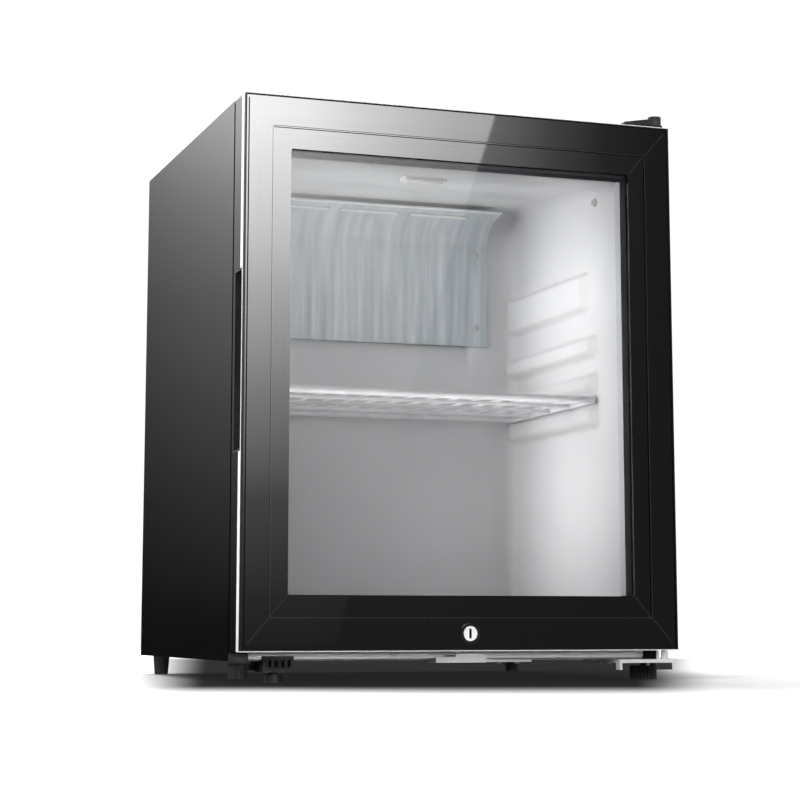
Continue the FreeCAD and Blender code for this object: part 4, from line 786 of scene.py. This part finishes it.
def makeTopShadeStrip(settings):
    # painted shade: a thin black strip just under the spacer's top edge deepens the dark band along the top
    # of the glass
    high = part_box("glass_spacer")[1]
    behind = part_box("glass_inner")[0].y
    thick, drop, bite = settings["thick"], settings["drop"], 0.0003
    halfWide, top = high.x - settings["band"] + bite, high.z - settings["band"]
    shape = bmesh.new()
    bmesh.ops.create_cube(shape, size=1)
    bmesh.ops.scale(shape, vec=(halfWide * 2, thick, drop + bite), verts=shape.verts)
    middle = Vector((0, behind - thick / 2 - 0.0002, top - (drop - bite) / 2))
    bmesh.ops.translate(shape, vec=middle, verts=shape.verts)
    bmesh.ops.bevel(shape, geom=shape.edges[:], offset=0.0001, segments=2, affect="EDGES")
    mesh = meshFrom("spacer_lip", shape, materials["spacerBlack"])
    newPiece("spacer_lip", mesh, "door")


def makeGasket():
    # a closed profile (inward, depth) swept round the gasket's rectangle with mitred corners
    low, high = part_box("door_gasket")
    near, far = low.y, high.y
    outline = [(0.001, near), (0.0, near + 0.0006), (0.0012, near + 0.0014), (0.0002, near + 0.0022),
               (0.0014, near + 0.003), (0.0006, far - 0.0004), (0.0018, far), (0.0118, far),
               (0.0132, far - 0.0006), (0.0122, near + 0.003), (0.0136, near + 0.0022),
               (0.0124, near + 0.0014), (0.0138, near + 0.0006), (0.0126, near)]
    shape = bmesh.new()
    rings = [[shape.verts.new((cx + sx * a, y, cz + sz * a)) for a, y in outline]
             for cx, sx, cz, sz in ((low.x, 1, low.z, 1), (high.x, -1, low.z, 1),
                                    (high.x, -1, high.z, -1), (low.x, 1, high.z, -1))]
    joinRings(shape, rings, closed=True)
    mesh = meshFrom("gasket_bellows", shape, materials["gasketRubber"])
    smoothed(mesh, 50)
    newPiece("gasket_bellows", mesh, "door", ("door_gasket",))


def makeSeamHighlights(settings):
    # painted highlights: thin bright lines where the profiles step and where they meet at the corners
    low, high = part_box("door_stile_left")
    outX, zLow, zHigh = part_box("door_stile_right")[1].x, low.z, high.z
    rail, edge, lift = settings["rail"], settings["edge"], settings["lift"]
    slope = rail / settings["stile"]
    front, step = low.y - lift, low.y + settings["step"] - lift
    shape = bmesh.new()

    def strip(start, end, y):
        along = Vector((end[0] - start[0], 0, end[1] - start[1])).normalized()
        aside = Vector((-along.z, 0, along.x)) * settings["wide"] / 2
        rows = []
        for x, z in (start, end):
            base, sunk = Vector((x, y, z)), Vector((x, y + lift * 2, z))
            places = (sunk + aside, base + aside * 0.94, base - aside * 0.94, sunk - aside)
            rows.append([shape.verts.new(place) for place in places])
        joinRings(shape, rings=rows)
        shape.faces.new(rows[0][::-1])
        shape.faces.new(rows[1])

    inset = settings["inset"] + settings["over"]
    sx, sLow, sHigh = outX - inset, zLow + inset * slope, zHigh - inset * slope
    for z in (sLow, sHigh):
        strip((-sx, z), (sx, z), front)
    wx = outX - settings["stile"]
    for sign in (-1, 1):
        strip((sign * sx, sLow), (sign * sx, sHigh), front)
        for zOut, zSeam, zIn, up in ((zLow, sLow, zLow + rail, 1), (zHigh, sHigh, zHigh - rail, -1)):
            strip((sign * (outX - edge), zOut + up * edge * slope), (sign * sx, zSeam), front)
            strip((sign * sx, zSeam), (sign * (wx + 0.0004), zIn - up * 0.0004), step)
    mesh = meshFrom("frame_seam_highlights", shape, materials["seamHighlight"])
    newPiece("frame_seam_highlights", mesh, "door")


def makeDialMarks(settings):
    tree, source, out = geometryTree("dialMarks", [("Length", "Float", 0.002), ("Width", "Float", 0.0005)])
    mark = grow(tree, "MeshCube", Size=vector(tree, source["Length"], 0.0003, source["Width"]))
    endTree(tree, copyFacing(tree, source["Geometry"], mark, "X"), out, materials["markWhite"])
    knobLow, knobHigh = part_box("thermostat_knob")
    centre = (knobLow + knobHigh) / 2 - Vector((0, 0, 0.00075))
    centre.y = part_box("control_box")[1].y + 0.00005
    ways = []
    for i in range(settings["marks"]):
        angle = math.radians(settings["from"] - settings["sweep"] * i / (settings["marks"] - 1))
        ways.append(Vector((math.cos(angle), 0, math.sin(angle))))
    seats = pointMesh("dialSeats", [centre + way * settings["radius"] for way in ways], ways)
    growPiece("dial_marks", seats, tree, {"Length": 0.0022, "Width": 0.0006}, "cabinet")


def makeWelds(settings):
    # a raised bead where each tube enters another
    around, section = 36, 8
    shape = bmesh.new()
    for centre, axis, radius in settings["joints"]:
        turn = Vector(axis).to_track_quat("Z", "Y").to_matrix()
        rings = []
        for i in range(around):
            a = 2 * math.pi * i / around
            bead = 0.0013 * (1 + 0.22 * math.sin(a * 9))
            ring = []
            for k in range(section):
                b = 2 * math.pi * k / section
                reach = radius + bead * math.cos(b)
                local = Vector((reach * math.cos(a), reach * math.sin(a), bead * math.sin(b)))
                ring.append(shape.verts.new(Vector(centre) + turn @ local))
            rings.append(ring)
        joinRings(shape, rings, closed=True)
    mesh = meshFrom("unit_welds", shape, materials["unitBlack"])
    mesh.shade_smooth()
    newPiece("unit_welds", mesh, "cabinet")


def screwPlaces():
    # seats and facing of the cabinet screws, from the boxes of the pieces they hold
    axisX, cabinetFront = 0.192, -0.1535
    top, base, back, panel = 0.5, 0.018, 0.1075, 0.1415
    seats, facing = [], []

    def add(places, way):
        for place in places:
            seats.append(place)
            facing.append(way)

    add([(axisX - a, cabinetFront + b, top + 0.0025) for a, b in
         ((0.008, 0.016), (0.026, 0.016), (0.017, 0.032))], (0, 0, 1))
    add([(axisX - a, cabinetFront + b, base - 0.003) for a, b in
         ((0.035, 0.012), (0.035, 0.036), (0.008, 0.040))], (0, 0, -1))
    add([(0.0027 + a, cabinetFront + 0.008, base - 0.002) for a in (0.045, 0.062)], (0, 0, -1))
    for sign in (-1, 1):
        add([(sign * 0.125, back - 0.003, top - z) for z in (0.074, 0.150)], (0, -1, 0))
        add([(sign * 0.123, panel + 0.0022, z) for z in (0.329, 0.464)], (0, 1, 0))
    return seats, facing


seats, facing = screwPlaces()
makeScrews({"seats": seats, "facing": facing, "sizes": {
    "Head Radius": 0.003, "Head Height": 0.00178, "Shank Radius": 0.0015, "Shank Length": 0.008}})
makeShelf({"wires": 15, "wire": 0.0014, "crossWires": 3, "sides": 12})
makeLiner({
    "cavity": {"halfWidth": 0.168, "floor": 0.05, "ceilingFront": 0.453, "ceilingRise": 0.020,
               "depth": 0.261},
    "counts": (24, 150, 5), "steps": 64, "entryRadius": 0.005, "edgeRadius": 0.012,
    "backRadius": 0.012, "ribDepth": 0.008, "ribSoft": 0.0045, "window": ((-0.115, 0.335), (0.115, 0.458)),
    "ribs": [(0.231, 0.253, -0.1), (0.2635, 0.283, -0.1), (0.2975, 0.319, -0.1), (0.343, 0.3815, -0.08)],
})
makeEvaporatorCover({
    "path": [(0.0, 0.0015), (0.012, 0.0045), (0.0235, 0.0085), (0.033, 0.0145), (0.0395, 0.0235),
             (0.0421, 0.0345), (0.0421, 0.07), (0.0421, 0.1345)],
    "fine": 10, "columns": 276, "ripple": 0.0085, "wave": 0.00012, "slotCentres": (-0.074, 0, 0.074),
    "slotHalf": 0.031, "slotSpan": (0.0135, 0.0185),
})
makeFins({"count": 22, "thick": 0.0008})
makeSpacerDots({"band": 0.0105, "pitch": 0.0036, "radius": 0.00055})
makeTopShadeStrip({"band": 0.0105, "drop": 0.0034, "thick": 0.0008})
makeGasket()
makeSeamHighlights({"stile": 0.041, "rail": 0.0465, "inset": 0.024, "step": 0.0015, "edge": 0.0045,
           "wide": 0.0009, "over": -0.00042, "lift": 0.00004})
makeDialMarks({"marks": 9, "from": 225, "sweep": 270, "radius": 0.0165})
makeWelds({"joints": [
    ((0.142, 0.1675, 0.4455), (0, 0, 1), 0.0102), ((0, 0.1675, 0.3945), (0, 0, 1), 0.0081),
    ((0.0705, 0.1675, 0.054), (1, 0, 0), 0.0042), ((-0.13, 0.1675, 0.0905), (0, 0, 1), 0.0082),
    ((-0.03, 0.1675, 0.4065), (0, 0, 1), 0.0062)]})
print("pieces made")


def rampNode(tree, stops, source):
    ramp = addNode(tree, "ShaderNodeValToRGB")
    elements = ramp.color_ramp.elements
    while len(elements) < len(stops):
        elements.new(0.5)
    for element, (position, value) in zip(elements, stops):
        element.position = position
        element.color = (value, value, value, 1)
    link(tree, (source, ramp.inputs["Fac"]))
    return ramp.outputs["Color"]


def addLight(tree, first, second):
    node = addNode(tree, "ShaderNodeVectorMath", operation="ADD")
    link(tree, (first, node.inputs[0]), (second, node.inputs[1]))
    return node.outputs[0]


def makeWorld(settings):
    world = bpy.data.worlds.new("studio")
    bpy.context.scene.world = world
    tree = clearTree(world)
    out = addNode(tree, "ShaderNodeOutputWorld")
    x, y, z = split(tree, addNode(tree, "ShaderNodeTexCoord").outputs["Generated"])
    rise = rampNode(tree, settings["rise"], z)
    sides = rampNode(tree, settings["sides"], calc(tree, "ABSOLUTE", x))
    behind = spread(tree, y, settings["frontGlow"], 1, *settings["frontEnds"], "SMOOTHSTEP")
    front = spread(tree, y, settings["frontBase"], 0, *settings["frontEnds"], "SMOOTHSTEP")
    light = mixColour(tree, 1, mixColour(tree, 1, rise, sides, "MULTIPLY"), behind, "MULTIPLY")
    felt = addNode(tree, "ShaderNodeBackground")
    seen = addNode(tree, "ShaderNodeBackground")
    rays = addNode(tree, "ShaderNodeLightPath")
    mix = addNode(tree, "ShaderNodeMixShader")
    link(tree, (addLight(tree, light, front), felt.inputs["Color"]),
         (settings["sky"], felt.inputs["Strength"]),
         (1, seen.inputs["Color"]), (settings["backdrop"], seen.inputs["Strength"]),
         (rays.outputs["Is Camera Ray"], mix.inputs[0]), (felt.outputs[0], mix.inputs[1]),
         (seen.outputs[0], mix.inputs[2]), (mix.outputs[0], out.inputs["Surface"]))


def flatPiece(name, corners, material):
    shape = bmesh.new()
    shape.faces.new([shape.verts.new(Vector(p)) for p in corners])
    return addObject(name, meshFrom(name, shape, material, False))


def makeFloor(settings):
    material, tree, shader = newMaterial("floorPale")
    pale = mixColour(tree, objectNoise(tree, 3), *settings["paint"])
    # painted shadow under, in front of and behind the cabinet, with a faint painted glow inside it so the
    # shadow stays dark grey
    turn = addNode(tree, "ShaderNodeMapping", vector_type="TEXTURE")
    link(tree, (objectPlace(tree), turn.inputs["Vector"]),
         ((0, 0, math.radians(settings["shadowTurn"])), turn.inputs["Rotation"]))
    x, y = split(tree, turn.outputs["Vector"])[:2]
    fan = calc(tree, "DIVIDE", x, calc(tree, "ADD", y, settings["shadowReach"]))
    shade = 1
    for place, ends in ((fan, settings["shadowAcross"]), (y, settings["shadowAlong"])):
        for limits in (ends[:2], ends[2:]):
            part = spread(tree, place, 0, 1, *limits, "SMOOTHSTEP")
            shade = calc(tree, "MULTIPLY", shade, part)
    parts = shader.inputs
    link(tree, (mixColour(tree, shade, pale, settings["shadowPaint"]), parts["Base Color"]),
         (1, parts["Emission Color"]),
         (calc(tree, "MULTIPLY", shade, settings["shadowGlow"]), parts["Emission Strength"]),
         (0.9, parts["Roughness"]), (0, parts["Specular IOR Level"]))
    turns = [2 * math.pi * i / 96 for i in range(96)]
    radius = settings["radius"]
    floor = flatPiece("studio_floor", [(radius * math.cos(a), radius * math.sin(a), -0.0002) for a in turns],
                      material)
    floor.visible_glossy = False


def makeCard(settings):
    # the soft light in front that the door mirrors, with one slanted edge
    glow = bpy.data.materials.new("cardGlow")
    tree = clearTree(glow)
    out = addNode(tree, "ShaderNodeOutputMaterial")
    emission = addNode(tree, "ShaderNodeEmission")
    y, width, height = settings["y"], settings["width"], settings["height"]
    place = split(tree, objectPlace(tree))
    up = spread(tree, place["Z"], 0, 1, 0, height)
    over = spread(tree, place["X"], 0, 1, 0, width)
    # x of the slanted edge at this height, compared with x here
    edge = calc(tree, "MULTIPLY_ADD", place["Z"], settings["edgeSlope"], settings["edgeFoot"])
    across = mixColour(tree, calc(tree, "GREATER_THAN", place["X"], edge),
                       rampNode(tree, settings["bright"], over), rampNode(tree, settings["dim"], over))
    light = mixColour(tree, 1, across, rampNode(tree, settings["rise"], up), "MULTIPLY")
    link(tree, (addLight(tree, light, (settings["base"],) * 3), emission.inputs["Color"]),
         (settings["glow"], emission.inputs["Strength"]), (emission.outputs[0], out.inputs["Surface"]))
    left = -0.3
    card = flatPiece("soft_card", [(left, y, 0), (width, y, 0), (width, y, height), (left, y, height)], glow)
    card.visible_camera = False
    card.visible_shadow = False
    card.visible_diffuse = False


def makeLamps(lamps):
    for name, power, size, place, aim, fan in lamps:
        light = bpy.data.lights.new(name, "AREA")
        light.energy = power
        light.shape = "RECTANGLE"
        light.size, light.size_y = size
        light.spread = math.radians(fan)
        lamp = addObject(name, light)
        lamp.location = place
        lamp.rotation_euler = (Vector(aim) - Vector(place)).to_track_quat("-Z", "Y").to_euler()
        lamp.visible_camera = False
        lamp.visible_glossy = name.startswith("top")
        lamp.visible_transmission = False


def makeCamera(settings):
    camera = bpy.data.cameras.new("camera")
    camera.sensor_width = 36
    camera.lens = settings["lens"]
    camera.shift_y = settings["shift"]
    view = addObject("camera", camera)
    view.location = settings["eye"]
    view.rotation_euler = [math.radians(a) for a in settings["turn"]]
    bpy.context.scene.camera = view


bpy.context.scene.view_settings.view_transform = "Standard"
makeCamera({"lens": 91.91, "shift": -0.1034, "eye": (-0.6344, -1.8392, 0.0504),
            "turn": (98.4916, 0, -19.205)})
makeWorld({
    "rise": [(0, 0.006), (0.011, 0.012), (0.06, 0.04), (0.108, 0.085), (0.156, 0.155),
             (0.184, 0.24), (0.207, 0.34), (0.24, 0.62), (0.3, 1.0), (1, 0.8)],
    "sides": [(0, 0.45), (0.2, 0.62), (0.26, 0.95), (0.4, 1)],
    "frontEnds": (-0.35, 0.25), "frontGlow": 0.02, "frontBase": 0.021, "sky": 2.0, "backdrop": 1.05,
})
# the floor carries a painted shadow around and behind the cabinet
makeFloor({"radius": 2.2, "paint": (0.89, 0.93), "shadowPaint": 0.008,
           "shadowTurn": -19.2, "shadowReach": 1.945, "shadowGlow": 0.017,
           "shadowAcross": (-0.135, -0.09, 0.16, 0.116), "shadowAlong": (-0.52, -0.27, 1.2, 0.85)})
makeCard({
    "y": -2.7, "height": 1.4, "width": 1.6, "edgeSlope": 0.317, "edgeFoot": 0.666,
    "glow": 4.0, "base": 0.0102,
    "rise": [(0, 0.004), (0.07, 0.012), (0.22, 0.05), (0.38, 0.2), (0.53, 0.41), (0.68, 0.72),
             (0.82, 1), (1, 1)],
    "bright": [(0.25, 1), (0.375, 0.86), (0.446, 0.68), (0.517, 0.54), (0.588, 0.43), (0.66, 0.37)],
    "dim": [(0.55, 0.19), (0.64, 0.12), (0.67, 0.1), (0.7375, 0.043), (0.817, 0.009), (0.9, 0.001)],
})
makeLamps([
    ("top_behind", 55, (1.3, 1.3), (-0.25, 1.1, 2.0), (0, -0.2, 0), 180),
    ("front_left", 22, (0.8, 0.8), (-2.0, -1.6, 0.9), (-0.2, -0.17, 0.2), 120),
    ("front_low", 3, (0.5, 0.3), (0.5, -2.3, 0.25), (0.05, -0.19, 0.03), 60),
    ("inside_left", 0.53, (0.2, 0.4), (-0.163, -0.045, 0.245), (0.1, -0.045, 0.235), 62),
    ("inside_low", 0.055, (0.28, 0.02), (0, -0.148, 0.13), (0, -0.092, 0.256), 50),
    ("inside_front", 0.05, (0.26, 0.1), (0, -0.14, 0.43), (0.02, 0.06, 0.1), 140),
])
print("studio set")
